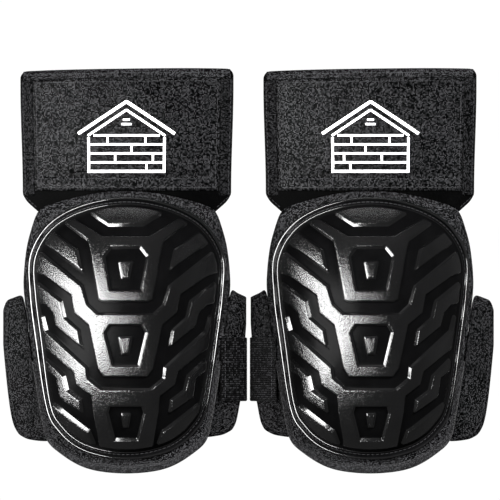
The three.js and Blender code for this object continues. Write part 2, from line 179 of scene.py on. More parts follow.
def world(points, side):
    """Pad-local millimetres to row-frame metres."""
    points = np.asarray(points, float).reshape(-1, 3)
    return np.column_stack(
        [SIDES[side] * (PAD_CENTRE + points[:, 0]), points[:, 1], points[:, 2]]
    ) * MM


def make(name, points, faces, materials, face_material=None, smooth=True, warp=None):
    """One object for each pad from pad-local points and faces that wind outward on the right pad."""
    made = {}
    points = np.asarray(points, float)
    for side in SIDES:
        mesh = bpy.data.meshes.new(f"{side}_{name}")
        wound = faces if side == "right" else [tuple(reversed(f)) for f in faces]
        shaped = points if warp is None else warp(points, SIDES[side])
        mesh.from_pydata([tuple(p) for p in world(shaped, side)], [], [tuple(map(int, f)) for f in wound])
        for m in materials:
            mesh.materials.append(m)
        if face_material is not None:
            mesh.polygons.foreach_set("material_index", np.asarray(face_material, np.int32))
        mesh.polygons.foreach_set("use_smooth", np.full(len(mesh.polygons), smooth))
        mesh.update()
        obj = bpy.data.objects.new(f"{side}_{name}", mesh)
        scene.collection.objects.link(obj)
        made[side] = obj
    return made


def finish_piece(made, body, replaces=(), blend=None):
    for side, obj in made.items():
        if replaces:
            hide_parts(*[f"{side}_{n}" for n in replaces])
        if blend:
            a, b, start, end = blend
            tuple(world([start], side)[0])
            tuple(world([end], side)[0])
            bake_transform(obj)
        else:
            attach(obj, f"{side}_{body}")
    return made


def grid_faces(rows, columns, offset=0, closed=False, flip=False):
    """Quads of a rows x columns grid of points, facing -Y where rows run down and columns run to +u."""
    faces = []
    spans = columns if closed else columns - 1
    for r in range(rows - 1):
        for c in range(spans):
            d = (c + 1) % columns
            quad = (offset + r * columns + c, offset + (r + 1) * columns + c,
                    offset + (r + 1) * columns + d, offset + r * columns + d)
            faces.append(quad[::-1] if flip else quad)
    return faces


def closed_sheet(front, back):
    """Points and faces of a closed solid between two grids, whose rows run down and columns to +u."""
    rows, columns = front.shape[:2]
    n = rows * columns
    points = np.vstack([front.reshape(-1, 3), back.reshape(-1, 3)])
    faces = grid_faces(rows, columns) + grid_faces(rows, columns, n, flip=True)
    last, end = (rows - 1) * columns, columns - 1
    for c in range(columns - 1):
        faces.append((last + c, n + last + c, n + last + c + 1, last + c + 1))
        faces.append((c, c + 1, n + c + 1, n + c))
    for a in range(0, last, columns):
        b = a + columns
        faces.append((a, n + a, n + b, b))
        faces.append((a + end, b + end, n + b + end, n + a + end))
    return points, faces


def polar_sheet(fronts, backs):
    """Points and faces of a closed solid between two sets of rings, whose first ring is the crest point."""
    columns, rows = len(fronts[1]), len(fronts) - 1
    points = np.vstack([fronts[0][:1], backs[0][:1], *fronts[1:], *backs[1:]])
    f, b = 2, 2 + rows * columns
    last = (rows - 1) * columns
    faces = []
    for c in range(columns):
        d = (c + 1) % columns
        faces += [(0, f + c, f + d), (1, b + d, b + c)]
        faces.append((f + last + c, b + last + c, b + last + d, f + last + d))
    faces += grid_faces(rows, columns, f, closed=True)
    faces += grid_faces(rows, columns, b, closed=True, flip=True)
    return points, faces


def ring_sheet(front, back):
    """Points and faces of a closed ring between two grids whose columns close on themselves."""
    rows, columns = front.shape[:2]
    n, last = rows * columns, (rows - 1) * columns
    faces = grid_faces(rows, columns, closed=True) + grid_faces(rows, columns, n, closed=True, flip=True)
    for c in range(columns):
        d = (c + 1) % columns
        faces += [(last + c, n + last + c, n + last + d, last + d), (c, d, n + d, n + c)]
    return np.vstack([front.reshape(-1, 3), back.reshape(-1, 3)]), faces


def sweep(path, section, closed=False):
    """Points and faces of a solid swept along a path with a section of (side, up) offsets, up being +Y."""
    path = np.asarray(path, float)
    n, m = len(path), len(section)
    along = unit(np.roll(path, -1, 0) - np.roll(path, 1, 0) if closed else np.gradient(path, axis=0))
    across = unit(np.cross(along, (0, 1.0, 0)))
    lift = np.cross(across, along)
    side, up = zip(*section)
    points = np.vstack([p + np.outer(side, a) + np.outer(up, b) for p, a, b in zip(path, across, lift)])
    faces = []
    for i in range(n if closed else n - 1):
        j = (i + 1) % n
        faces += [(i * m + k, i * m + (k + 1) % m, j * m + (k + 1) % m, j * m + k) for k in range(m)]
    if not closed:
        faces.append(tuple(range(m - 1, -1, -1)))
        faces.append(tuple((n - 1) * m + k for k in range(m)))
    return points, faces


def join(parts):
    """Several (points, faces) as one."""
    points, faces, base = [], [], 0
    for p, f in parts:
        points.append(p)
        faces += [tuple(i + base for i in face) for face in f]
        base += len(p)
    return np.vstack(points), faces


# ---- Materials


class Value:
    """A node's output that can stand in a sum, so that a material reads as a formula."""

    def __init__(self, nodes, socket):
        self.nodes, self.socket = nodes, socket

    def __add__(self, other):
        return self.nodes.math("ADD", self, other)

    def __rsub__(self, other):
        return self.nodes.math("SUBTRACT", other, self)

    def __sub__(self, other):
        return self.nodes.math("SUBTRACT", self, other)

    def __mul__(self, other):
        return self.nodes.math("MULTIPLY", self, other)

    def __truediv__(self, other):
        return self.nodes.math("DIVIDE", self, other)

    def __pow__(self, other):
        return self.nodes.math("POWER", self, other)

    def __mod__(self, other):
        return self.nodes.math("MODULO", self, other)

    def __abs__(self):
        return self.nodes.math("ABSOLUTE", self)


class Nodes:
    """One material's node tree."""

    def __init__(self, name):
        self.material = bpy.data.materials.new(name)
        self.material.use_nodes = True
        self.tree = self.material.node_tree
        self.tree.nodes.clear()
        self.shader = self.add("ShaderNodeBsdfPrincipled")
        self.feed(self.shader.outputs[0], self.add("ShaderNodeOutputMaterial").inputs[0])
        self.place = self.add("ShaderNodeTexCoord").outputs["Object"]

    def add(self, kind, **settings):
        node = self.tree.nodes.new(kind)
        for key, value in settings.items():
            setattr(node, key, value)
        return node

    def feed(self, value, target):
        """Gives an input a socket, a number or a colour."""
        value = getattr(value, "socket", value)
        if isinstance(value, bpy.types.NodeSocket):
            self.tree.links.new(value, target)
        else:
            target.default_value = (*value, 1) if isinstance(value, tuple) else value

    def node(self, kind, output, inputs, **settings):
        """The named output of a new node, with its inputs fed by name or place."""
        node = self.add(kind, **settings)
        for key, value in inputs.items():
            self.feed(value, node.inputs[key])
        return Value(self, node.outputs[output])

    def noise(self, scale, detail=2.0, rough=0.5):
        return self.node("ShaderNodeTexNoise", "Fac",
                         {"Vector": self.place, "Scale": scale, "Detail": detail, "Roughness": rough})

    def voronoi(self, scale):
        return self.node("ShaderNodeTexVoronoi", "Distance", {"Vector": self.place, "Scale": scale})

    def chance(self, u, z):
        """A random number for each unit cell of (u, z)."""
        cell = self.node("ShaderNodeCombineXYZ", 0, {0: self.math("FLOOR", u), 1: self.math("FLOOR", z)})
        return self.node("ShaderNodeTexWhiteNoise", "Value", {"Vector": cell}, noise_dimensions="2D")

    def math(self, operation, *terms):
        return self.node("ShaderNodeMath", 0, dict(enumerate(terms)), operation=operation)

    def rib(self, across):
        """A rounded rib over each unit of a coordinate."""
        return abs(self.math("SINE", across * math.pi))

    def remap(self, value, low, high, to_low, to_high):
        return self.node("ShaderNodeMapRange", 0, {0: value, 1: low, 2: high, 3: to_low, 4: to_high},
                         interpolation_type="SMOOTHSTEP")

    def ramp(self, value, stops):
        """Colours between stops of (place, colour), where a bare number is a shade of grey."""
        node = self.add("ShaderNodeValToRGB")
        elements = node.color_ramp.elements
        elements.remove(elements[-1])
        for index, (at, colour) in enumerate(stops):
            element = elements[0] if index == 0 else elements.new(at)
            element.position = at
            element.color = (*(colour if isinstance(colour, tuple) else grey(colour)), 1)
        self.feed(value, node.inputs[0])
        return node.outputs[0]

    def axis(self, index):
        return self.node("ShaderNodeSeparateXYZ", index, {0: self.place})

    def attribute(self, name):
        return self.node("ShaderNodeAttribute", "Fac", {}, attribute_name=name)

    def bump(self, height, distance, strength=1.0, below=None):
        inputs = {"Strength": strength, "Distance": distance, "Height": height}
        return self.node("ShaderNodeBump", 0, inputs if below is None else {**inputs, "Normal": below})

    def finish(self, colour, roughness, normal=None, **others):
        """The material, with inputs of the shader given by their names."""
        if normal is not None:
            others["normal"] = normal
        for key, value in {"base_color": colour, "roughness": roughness, **others}.items():
            self.feed(value, self.shader.inputs[key.replace("_", " ").title().replace("Ior", "IOR")])
        return self.material


def grey(shade):
    """A near-neutral grey with the slight blue of black dye."""
    return shade, shade, shade * 1.06


def shell_plastic():
    """Glossy black moulded plastic, with a leather-like grain on the raised plates."""
    n = Nodes("shell_plastic")
    on_plate = n.remap(n.attribute("relief"), 0.8, 1.0, 0.0, 1.0)
    grain = (n.voronoi(1150) * 0.75 + n.noise(1500, 3) * 0.45) * on_plate
    swirl = n.noise(45, 3)
    flow = n.bump(swirl, 0.0004, 0.25)
    roughness = n.remap(n.noise(900, 2), 0.35, 0.7, 0.13, 0.26)
    return n.finish(n.ramp(swirl, [(0.3, 0.0006), (0.75, 0.0011)]), roughness,
                    n.bump(grain, 0.00031, 0.85, flow), specular_ior_level=0.7)


def smooth_plastic(name, shade, rough, specular):
    """The moulding away from its grained plates."""
    n = Nodes(name)
    swirl = n.noise(60, 3)
    return n.finish(n.ramp(swirl, [(0.3, shade), (0.75, shade * 1.6)]),
                    n.remap(swirl, 0.3, 0.75, rough - 0.04, rough + 0.06),
                    n.bump(n.noise(500, 3), 0.00012, 0.4), specular_ior_level=specular)


def weave(name, pitch_u, pitch_z, base, lift, depth, rough=(0.55, 0.9), fuzz=0.0, gloss=0.08):
    """Plain-woven cloth: warp over weft in a chequer, each thread a rounded rib. Its colour holds painted
    shade where the threads dip and a painted glint of random brightness for each crossing.
    """
    n = Nodes(name)
    wobble = n.noise(160, 2) * 0.9
    u, z = n.axis(0) / pitch_u + wobble, n.axis(2) / pitch_z + wobble
    warp_on_top = abs(n.math("FLOOR", u) + n.math("FLOOR", z)) % 2.0
    height = n.rib(u) ** 0.6 * warp_on_top + n.rib(z) ** 0.6 * (1.0 - warp_on_top)
    thread = n.noise(2600, 2)
    # tone: painted shade where the threads dip (height squared) times a painted glint, random for each
    # crossing. It sets both the colour and the specular level.
    tone = height**2.0 * (n.chance(u, z) ** 1.6 * 0.85 + n.noise(35, 3) * 0.2 + 0.1)
    return n.finish(n.ramp(tone, [(0.02, base * 0.2), (0.3, base), (0.95, lift)]),
                    n.remap(thread, 0.3, 0.75, *rough), n.bump(height + thread * 0.5, depth),
                    sheen_weight=fuzz, sheen_roughness=0.45, specular_ior_level=tone * gloss)


def neck_cloth_painted_shade():
    """The brushed black cloth of the flap away from its panel. It is made far darker than the other cloths,
    as painted shade for the strip that lies in the shadow of the panel's edge.
    """
    n = Nodes("neck_cloth_painted_shade")
    fine = n.noise(800, 3, rough=0.6)
    twill = n.rib((n.axis(0) + n.axis(2) * 0.78) * 226)
    tone = fine * 0.6 + n.noise(28, 4) * 0.5
    below = n.bump(n.noise(90, 3), 0.0012, 0.25)
    return n.finish(n.ramp(tone, [(0.4, 0.00003), (0.55, 0.0001), (0.72, 0.0005)]),
                    n.remap(fine, 0.3, 0.7, 0.78, 0.96), n.bump(fine + twill * 0.35, 0.00022, 0.9, below),
                    sheen_weight=0.005, sheen_roughness=0.5, specular_ior_level=0.02)


def elastic_webbing():
    """Ribbed elastic. Its colour holds painted shade where the ribs dip and painted glints of rubber and
    yarn, random for each cell where ribs and weft cross.
    """
    n = Nodes("elastic_webbing")
    x, z = n.axis(0) / 0.0011, n.axis(2) / 0.0017
    speck = n.noise(1900, 2, rough=0.7)
    height = n.rib(z) * 0.7 + n.rib(x) * 0.35 + speck * 0.5
    # tone: painted shade where the ribs dip times a painted glint, random for each cell.
    tone = height * (n.chance(x, z) * 0.6 + 0.25)
    return n.finish(n.ramp(tone, [(0.2, 0.0002), (0.6, 0.001), (0.9, 0.008)]),
                    n.remap(speck, 0.35, 0.7, 0.4, 0.85), n.bump(height, 0.0005, 0.9),
                    sheen_weight=0.005, sheen_roughness=0.4, specular_ior_level=0.06)


def spacer_mesh():
    """Knitted spacer mesh: staggered rows of small holes in brushed yarn."""
    n = Nodes("spacer_mesh")
    hole_pitch = 0.0032
    x, z = n.axis(0) / hole_pitch, n.axis(2) / (hole_pitch * 0.87)
    row = abs(n.math("FLOOR", z)) % 2.0
    across, down = n.math("FRACT", x + row * 0.5) - 0.5, n.math("FRACT", z) - 0.5
    yarn = n.remap(n.math("SQRT", across**2.0 + down**2.0), 0.2, 0.34, 0.0, 1.0)
    fuzz = n.noise(1500, 3, rough=0.6)
    tone = yarn * ((fuzz + n.noise(24, 3)) * 0.5 + 0.45)
    return n.finish(n.ramp(tone, [(0.0, 0.002), (0.5, 0.012), (0.95, 0.036)]), 0.85,
                    n.bump(yarn + fuzz * 0.3, 0.0007, 0.9), sheen_weight=0.08, sheen_roughness=0.5,
                    specular_ior_level=0.12)


def hook_surface():
    """The hook side of hook-and-loop tape."""
    n = Nodes("hook_tape")
    dots, speck = n.voronoi(900), n.noise(1700, 2)
    return n.finish(n.ramp(dots, [(0.1, 0.05), (0.5, 0.012)]), n.remap(speck, 0.3, 0.7, 0.5, 0.8),
                    n.bump(1.0 - dots + speck * 0.5, 0.0006, 0.9))


def sewing_thread():
    n = Nodes("thread")
    twist = n.noise(2500, 2)
    return n.finish(n.ramp(twist, [(0.3, 0.006), (0.7, 0.024)]), 0.75, n.bump(twist, 0.0002),
                    specular_ior_level=0.1)


def print_ink():
    """White screen print that sinks into the weave."""
    n = Nodes("print_ink")
    worn = n.noise(700, 3, rough=0.65)
    whites = [(place, (shade,) * 3) for place, shade in ((0.25, 0.5), (0.5, 0.82), (0.8, 0.9))]
    return n.finish(n.ramp(worn, whites), n.remap(worn, 0.3, 0.7, 0.5, 0.75), n.bump(worn, 0.0002, 0.8))


def closed_cell_foam():
    n = Nodes("closed_cell_foam")
    return n.finish(n.ramp(n.noise(40, 2), [(0.3, 0.03), (0.7, 0.05)]), 0.9,
                    n.bump(n.voronoi(1300), 0.0003, 0.8))


def clear_gel():
    n = Nodes("gel")
    cloud = n.noise(70, 3)
    return n.finish(n.ramp(cloud, [(0.3, (0.05, 0.16, 0.3)), (0.7, (0.09, 0.26, 0.44))]),
                    n.remap(cloud, 0.3, 0.7, 0.2, 0.35), n.bump(cloud, 0.0006, 0.4), subsurface_weight=0.2)


def moulded_nylon():
    n = Nodes("moulded_nylon")
    spark, flow = n.noise(1100, 3, rough=0.6), n.noise(50, 3)
    return n.finish(n.ramp(flow, [(0.3, 0.008), (0.7, 0.014)]), n.remap(spark, 0.3, 0.7, 0.42, 0.58),
                    n.bump(spark, 0.00018, 0.7), specular_ior_level=0.3)


def pale_floor():
    """A floor that glows a little, as a white cove does, so that it stays pale from every side."""
    n = Nodes("pale_floor")
    return n.finish(n.ramp(n.noise(6, 3), [(0.3, (0.84,) * 3), (0.7, (0.87,) * 3)]), 0.7,
                    emission_color=(0.9, 0.9, 0.9), emission_strength=0.72)


SHELL = shell_plastic()
GROOVE = smooth_plastic("shell_groove", 0.0006, 0.34, 0.02)
RIM = smooth_plastic("shell_rim", 0.001, 0.12, 1.0)
# The woven cloths carry weave()'s painted shade between the threads and its painted glints in their colour.
WEAVE = weave("ballistic_weave", 0.0009, 0.0009, 0.0003, 0.022, 0.00018, (0.4, 0.6), gloss=0.13)
BODY_CLOTH = weave("body_cloth", 0.0008, 0.0008, 0.0006, 0.031, 0.00015)
WING_CLOTH = weave("wing_cloth", 0.0008, 0.0008, 0.0005, 0.0195, 0.00015)
BAND_CLOTH = weave("band_cloth", 0.0008, 0.0008, 0.0005, 0.016, 0.0003)
TAPE = weave("edge_tape", 0.0007, 0.0011, 0.004, 0.022, 0.00025, fuzz=0.05)
NECK_CLOTH_PAINTED_SHADE = neck_cloth_painted_shade()
LINER_CLOTH = spacer_mesh()
ELASTIC = elastic_webbing()
HOOK = hook_surface()
THREAD = sewing_thread()
INK = print_ink()
FOAM = closed_cell_foam()
GEL = clear_gel()
NYLON = moulded_nylon()


# ---- The relief of the shell, as outlines of (u, z) on one half

CENTRE_PLATES = [
    [(0, 120), (50, 120), (50, 103), (33.2, 92), (13.7, 79.3), (0, 79.3)],
    [(0, 71.8), (17.5, 71.8), (43.3, 87.1), (62, 98), (66, 94), (29.6, 67.9), (28.2, 62.8),
     (20.9, 22.5), (17.7, 20.7), (0, 20.7)],
    [(0, 12.2), (21, 12.2), (28.5, 19.3), (32.8, 33.5), (67.6, 61.4), (90, 79), (90, 50),
     (75, 45), (62.3, 40.6), (41.8, 26.1), (39.4, 12.2), (28.4, 2.8), (25.1, -12.9),
     (21.5, -30.8), (16.8, -37.4), (0, -37.4)],
    [(0, -45.9), (18.6, -45.9), (28.3, -37.8), (29.2, -29.6), (60.6, -1.2), (63.4, 9.4),
     (68.9, 18), (90, 24), (90, -14), (66.9, -12.1), (40.1, -33.5), (38, -43.1),
     (26.7, -51.9), (25.5, -64.4), (20.7, -92.4), (19, -112), (0, -112)],
]
SIDE_PLATES = [
    [(36.9, 61.4), (58.4, 76.9), (72, 86.7), (84, 78), (66, 67), (52.6, 58.1), (33.1, 43.9)],
    [(49, 21.9), (70, 38), (90, 42), (90, 25), (75, 22), (61, 17.7), (56, 12), (53.5, 1.8),
     (32.8, -15.2), (35.3, -0.7), (46, 9)],
    [(46.8, -36.3), (65.6, -18.3), (85, -22), (85, -36), (61.6, -32.5), (53.7, -38.5),
     (51.2, -53.4), (32.6, -66.1), (34.1, -54.9), (44.2, -47.4)],
    [(56.2, -57.2), (59.7, -43), (80, -36), (80, -80), (50, -110), (27, -110), (23.4, -89.3),
     (27.5, -78.8), (31.1, -76.6)],
]
RECESSES = [
    [(10.8, 62.1), (15.8, 55.8), (11.2, 30.3)],
    [(11.8, 2.7), (15.2, -2.9), (9.3, -27.7)],
    [(12.1, -60.5), (13.4, -65), (8.4, -84.9)],
]
STUDS = [
    [(5.7, 52.7), (3, 38.8)],
    [(5.3, -5.9), (2.8, -19.6)],
    [(3.9, -65.6), (2, -76.8)],
]
PLATE_RISE = 2.6
STUD_RISE = 2.0
# The wall of a plate: distance inside its outline, and the share of the rise reached there.
PLATE_WALL = [(-0.45, 0.0), (0.0, 0.06), (1.0, 0.92), (1.5, 1.0)]
STUD_WALL = [(-0.2, 0.0), (0.8, 0.9), (1.2, 1.0)]
PLATE_MARGIN = 3.2  # from the foot of the dome to the ends of the plates
FLANGE = 5.6  # width of the rim outside the dome
# Rings of mesh points round the shell, as distances in from its edge: the rim's bead with its height at
# each, the stitching channel, and the foot of the dome.
BEAD = [(0, 0.0), (0.25, 0.6), (0.6, 1.1), (0.95, 1.45), (1.3, 1.52), (1.6, 1.38), (2.2, 0.97), (2.8, 0.5),
        (3.2, 0.0)]
CHANNEL = (3.3, 3.7, 4.6, 5.2)
CHANNEL_DEPTH = 0.7
TUBE_RADIUS = 0.5  # of the second bead, at the foot of the dome
FOOT_RINGS = (FLANGE, FLANGE + 0.12, FLANGE + 0.4, FLANGE + 0.9, FLANGE + 1.6, FLANGE + 2.3)
SHELL_GRID = 1.5  # spacing of mesh points on the smooth of the dome
RIM_STEPS = 420


def whole(half):
    side = [p for p in half if p[0] > 0]
    return side + [(-u, z) for u, z in reversed(side)]


def inside_distance(points, outline):
    """Distance of each (u, z) point to a closed outline, positive inside."""
    outline = np.asarray(outline, float)
    best = np.full(len(points), 1e9)
    inside = np.zeros(len(points), bool)
    for k in range(len(outline)):
        a, b = outline[k], outline[(k + 1) % len(outline)]
        edge = b - a
        t = np.clip(((points - a) @ edge) / (edge @ edge), 0, 1)
        gap = points - (a + t[:, None] * edge)
        best = np.minimum(best, np.hypot(gap[:, 0], gap[:, 1]))
        crosses = (a[1] > points[:, 1]) != (b[1] > points[:, 1])
        with np.errstate(divide="ignore", invalid="ignore"):
            at = a[0] + (points[:, 1] - a[1]) / (b[1] - a[1]) * edge[0]
        inside ^= crosses & (points[:, 0] < at)
    return np.where(inside, best, -best)


def to_edge(u, z):
    """Distance in from the shell's edge, measured towards the crest, and the edge's own reach there."""
    edge = reach(SHELL_LINE, np.arctan2(z - CREST_Z, u))
    return edge - np.hypot(u, z - CREST_Z), edge


def plate_distance(u, z):
    """Signed distance to the edge of the plates, positive on a plate."""
    points = np.column_stack([np.abs(u), z])
    best = np.full(len(points), -1e9)
    for half in CENTRE_PLATES:
        best = np.maximum(best, inside_distance(points, whole(half)))
    for outline in SIDE_PLATES:
        best = np.maximum(best, inside_distance(points, outline))
    best = np.minimum(best, to_edge(u, z)[0] - FLANGE - PLATE_MARGIN)
    for half in RECESSES:
        best = np.minimum(best, -inside_distance(points, whole(half)))
    return best


def stud_distance(u, z):
    """Signed distance to the edge of the three studs, positive on a stud."""
    points = np.column_stack([np.abs(u), z])
    return np.max([inside_distance(points, whole(half)) for half in STUDS], axis=0)


def contours(field, us, zs, level):
    """Points and edges of the line where a field on a grid crosses a level (marching squares)."""
    above = field > level
    points, edges, known = [], [], {}

    def crossing(a, b):
        key = (a, b)
        if key not in known:
            t = (level - field[a]) / (field[b] - field[a])
            known[key] = len(points)
            points.append((us[a[1]] + t * (us[b[1]] - us[a[1]]), zs[a[0]] + t * (zs[b[0]] - zs[a[0]])))
        return known[key]

    mixed = (above[:-1, :-1] != above[1:, 1:]) | (above[:-1, 1:] != above[1:, :-1]) | \
            (above[:-1, :-1] != above[:-1, 1:])
    for r, c in zip(*np.nonzero(mixed)):
        corners = [(r, c), (r, c + 1), (r + 1, c + 1), (r + 1, c)]
        cut = [crossing(min(a, b), max(a, b)) for a, b in zip(corners, corners[1:] + corners[:1])
               if above[a] != above[b]]
        edges += [(cut[k], cut[k + 1]) for k in range(0, len(cut) - 1, 2)]
    return points, edges


def dome_rise(t):
    return np.power(np.clip(1 - np.power(np.clip(t, 0, 1), 2.4), 0, 1), 0.75)


def dome_front(u, radius, edge):
    """y of the smooth dome, whose foot is where the flange begins."""
    t = np.clip(radius / (edge - FLANGE), 0, 1) if np.ndim(radius) else 0.0
    return wrap(u) - SHELL_WALL - (DOME_DEPTH - 1) * dome_rise(t)


def dome_at(u, z):
    inward, edge = to_edge(u, z)
    return dome_front(u, edge - inward, edge)


def shell_plan():
    """The shell's front as triangles in the (u, z) plane, with points along every edge of its relief."""
    angles = -np.arange(RIM_STEPS) * 2 * math.pi / RIM_STEPS
    points, edges = [], []
    for inset in (*[at for at, _ in BEAD], *CHANNEL, *FOOT_RINGS):
        base = len(points)
        points += list(zip(*around(SHELL_LINE, angles, inset)))
        edges += [(base + k, base + (k + 1) % RIM_STEPS) for k in range(RIM_STEPS)]
    us, zs = np.arange(-76, 76.1, 0.5), np.arange(-104, 104.1, 0.5)
    grid_u, grid_z = np.meshgrid(us, zs)
    reliefs = ((plate_distance, PLATE_WALL), (stud_distance, STUD_WALL))
    for distance, wall in reliefs:
        field = distance(grid_u.ravel(), grid_z.ravel()).reshape(grid_u.shape)
        for level, _ in wall:
            found, links = contours(field, us, zs, level + 1e-4)
            edges += [(a + len(points), b + len(points)) for a, b in links]
            points += found
    # Staggered rows of points over the smooth of the dome, clear of every edge.
    row = np.arange(-76, 76, SHELL_GRID)
    inner = np.vstack([np.column_stack([row + (k % 2) * SHELL_GRID / 2, np.full(len(row), z)])
                       for k, z in enumerate(np.arange(-104, 104, SHELL_GRID * 0.866))])
    inner = inner[to_edge(*inner.T)[0] > FOOT_RINGS[-1] + 0.6]
    for distance, wall in reliefs:
        d = distance(*inner.T)
        inner = inner[(d < wall[0][0] - 0.5) | (d > wall[-1][0] + 0.5)]
    points += [tuple(p) for p in inner]
    made = delaunay_2d_cdt([Vector(p) for p in points], edges, [], 1, 0.04, True)
    place = {old: new for new, olds in enumerate(made[3]) for old in olds}
    rim = [place[k] for k in range(RIM_STEPS)]
    return np.array([tuple(p) for p in made[0]]), [tuple(f) for f in made[2]], rim


def rim_tube():
    """The round bead moulded where the dome meets its flange."""
    angles = -np.arange(360) * math.pi / 180
    u, z = around(SHELL_LINE, angles, FLANGE - 0.1)
    section = [(TUBE_RADIUS * math.cos(a), TUBE_RADIUS * math.sin(a)) for a in np.arange(16) * math.pi / 8]
    return sweep(np.column_stack([u, wrap(u) - SHELL_WALL, z]), section, closed=True)


def dome_normals(u, z):
    """The way out of the dome at points, straight ahead on its flange."""
    step = 0.05
    slope_u = (dome_at(u + step, z) - dome_at(u - step, z)) / (2 * step)
    slope_z = (dome_at(u, z + step) - dome_at(u, z - step)) / (2 * step)
    normal = unit(np.column_stack([slope_u, -np.ones(len(u)), slope_z]))
    normal[to_edge(u, z)[0] <= FLANGE + 0.01] = (0, -1, 0)
    return normal


def shell():
    plan, faces, rim = shell_plan()
    u, z = plan.T
    inward, edge = to_edge(u, z)
    plates = np.interp(plate_distance(u, z), *zip(*PLATE_WALL))
    studs = np.interp(stud_distance(u, z), *zip(*STUD_WALL))
    rise = PLATE_RISE * plates + STUD_RISE * studs * (1 - plates) + np.interp(inward, *zip(*BEAD))
    rise += np.interp(inward, CHANNEL, (0, -CHANNEL_DEPTH, -CHANNEL_DEPTH, 0))
    front = np.column_stack([u, dome_at(u, z), z]) + dome_normals(u, z) * rise[:, None]

    # The back: rings of points that close in from the rim on the crest.
    rings = []
    wall = SHELL_WALL + 0.4
    for s in (0.993, 0.94, 0.85, 0.72, 0.56, 0.38, 0.2):
        ru, rz = u[rim] * s, CREST_Z + (z[rim] - CREST_Z) * s
        ry = dome_front(ru, edge[rim] * s, edge[rim]) + wall
        rings.append(np.column_stack([ru, np.minimum(ry, wrap(ru) - 0.1), rz]))
    crest = [[0, dome_front(0, 0, 1) + wall, CREST_Z]]
    m, base = len(rim), len(front)
    mask = np.maximum(plates, studs)
    corners = np.array(faces)
    outside = inward[corners].mean(axis=1) < CHANNEL[0]
    kind = np.where(mask[corners].mean(axis=1) > 0.3, 0, np.where(outside, 2, 1))
    last = base + (len(rings) - 1) * m
    for c in range(m):
        d = (c + 1) % m
        faces += [(rim[c], rim[d], base + d, base + c), (last + c, last + d, last + m)]
    faces += [q[::-1] for q in grid_faces(len(rings), m, base, closed=True)]

    points, faces = join([(np.vstack([front, *rings, crest]), faces), rim_tube()])
    kind = np.r_[kind, np.full(len(faces) - len(kind), 2)]
    made = make("shell", points, faces, [SHELL, GROOVE, RIM], kind)
    mask = np.r_[mask, np.zeros(len(points) - base)]
    for obj in made.values():
        attribute = obj.data.attributes.new("relief", "FLOAT", "POINT")
        attribute.data.foreach_set("value", mask.astype(np.float32))
    finish_piece(made, "pad", ["shell"])


# ---- Stitching: each line is one mesh of short rounded threads


# Rings along a stitch: its place from end to end, its lift out of the cloth and its radius, both in threads.
STITCH_RINGS = [(-1, -0.25, 0.275), (-0.55, 0.25, 0.5), (0.55, 0.25, 0.5), (1, -0.25, 0.275)]


def one_stitch(a, b, length, thick):
    """A short rounded thread between two rows of (point, normal)."""
    along, out = unit(b[:3] - a[:3]), unit(a[3:] + b[3:])
    across = np.cross(along, out)
    half = min(length, np.linalg.norm(b[:3] - a[:3]) * 0.9) / 2
    turns = np.arange(6) * math.pi / 3
    rings = [(a[:3] + b[:3]) / 2 + along * s * half + np.outer(lift + np.sin(turns) * radius, out) * thick
             + np.outer(np.cos(turns), across) * radius * thick for s, lift, radius in STITCH_RINGS]
    faces = [(r + k, r + (k + 1) % 6, r + 6 + (k + 1) % 6, r + 6 + k) for r in (0, 6, 12) for k in range(6)]
    return np.vstack(rings), faces + [(5, 4, 3, 2, 1, 0), (18, 19, 20, 21, 22, 23)]


def stitches(name, path, normal, body, slot="binding", pitch=3.4, length=2.5, thick=0.5, closed=False,
             blend=None, warp=None):
    """Threads along a path of pad-local points. normal gives, for each point, the way out of the cloth."""
    normal = np.broadcast_to(np.asarray(normal, float), np.shape(path))
    both = resample(np.hstack([path, normal]), pitch, closed)
    ends = np.roll(both, -1, axis=0) if closed else both[1:]
    points, faces = join([one_stitch(a, b, length, thick) for a, b in zip(both, ends)])
    return finish_piece(make(name, points, faces, [THREAD], warp=warp), body, blend=blend)


def shell_stitches():
    u, z = around(SHELL_LINE, np.arange(360) * math.pi / 180, 3.9)
    path = np.column_stack([u, wrap(u) - SHELL_WALL + 0.45, z])
    normal = np.column_stack([np.sin(np.arctan(wrap_slope(u))), -np.ones_like(u), 0 * u])
    stitches("shell_stitches", path, normal, "pad", pitch=3.6, length=2.7, thick=0.6, closed=True)


# ---- Padding inflated by cloth simulation


def inflate(points, faces, held, pressure, cap, frames=20):
    """Runs Blender's cloth on a closed pad and returns its points. held marks points that stay in place."""
    mesh = bpy.data.meshes.new("padding")
    mesh.from_pydata([tuple(p * MM) for p in points], [], faces)
    obj = bpy.data.objects.new("padding", mesh)
    scene.collection.objects.link(obj)
    group = obj.vertex_groups.new(name="held")
    group.add([int(i) for i in np.nonzero(held)[0]], 1.0, "REPLACE")
    cloth = obj.modifiers.new("cloth", "CLOTH")
    cloth.settings.effector_weights.gravity = 0
    cloth.collision_settings.use_self_collision = False
    values = {"vertex_group_mass": "held", "use_pressure": True, "uniform_pressure_force": pressure,
              "quality": 6, "mass": 0.2, "tension_stiffness": 25, "compression_stiffness": 25,
              "bending_stiffness": 0.6}
    for key, value in values.items():
        setattr(cloth.settings, key, value)
    cloth.point_cache.frame_start, cloth.point_cache.frame_end = 1, frames
    for f in range(1, frames + 1):
        scene.frame_set(f)
    evaluated = obj.evaluated_get(bpy.context.evaluated_depsgraph_get())
    result = np.zeros(len(points) * 3)
    evaluated.data.vertices.foreach_get("co", result)
    scene.frame_set(1)
    bpy.data.objects.remove(obj)
    bpy.data.meshes.remove(mesh)
    move = result.reshape(-1, 3) / MM - points
    size = np.maximum(np.linalg.norm(move, axis=1), 1e-9)
    return points + move * (cap * np.tanh(size / cap) / size)[:, None]


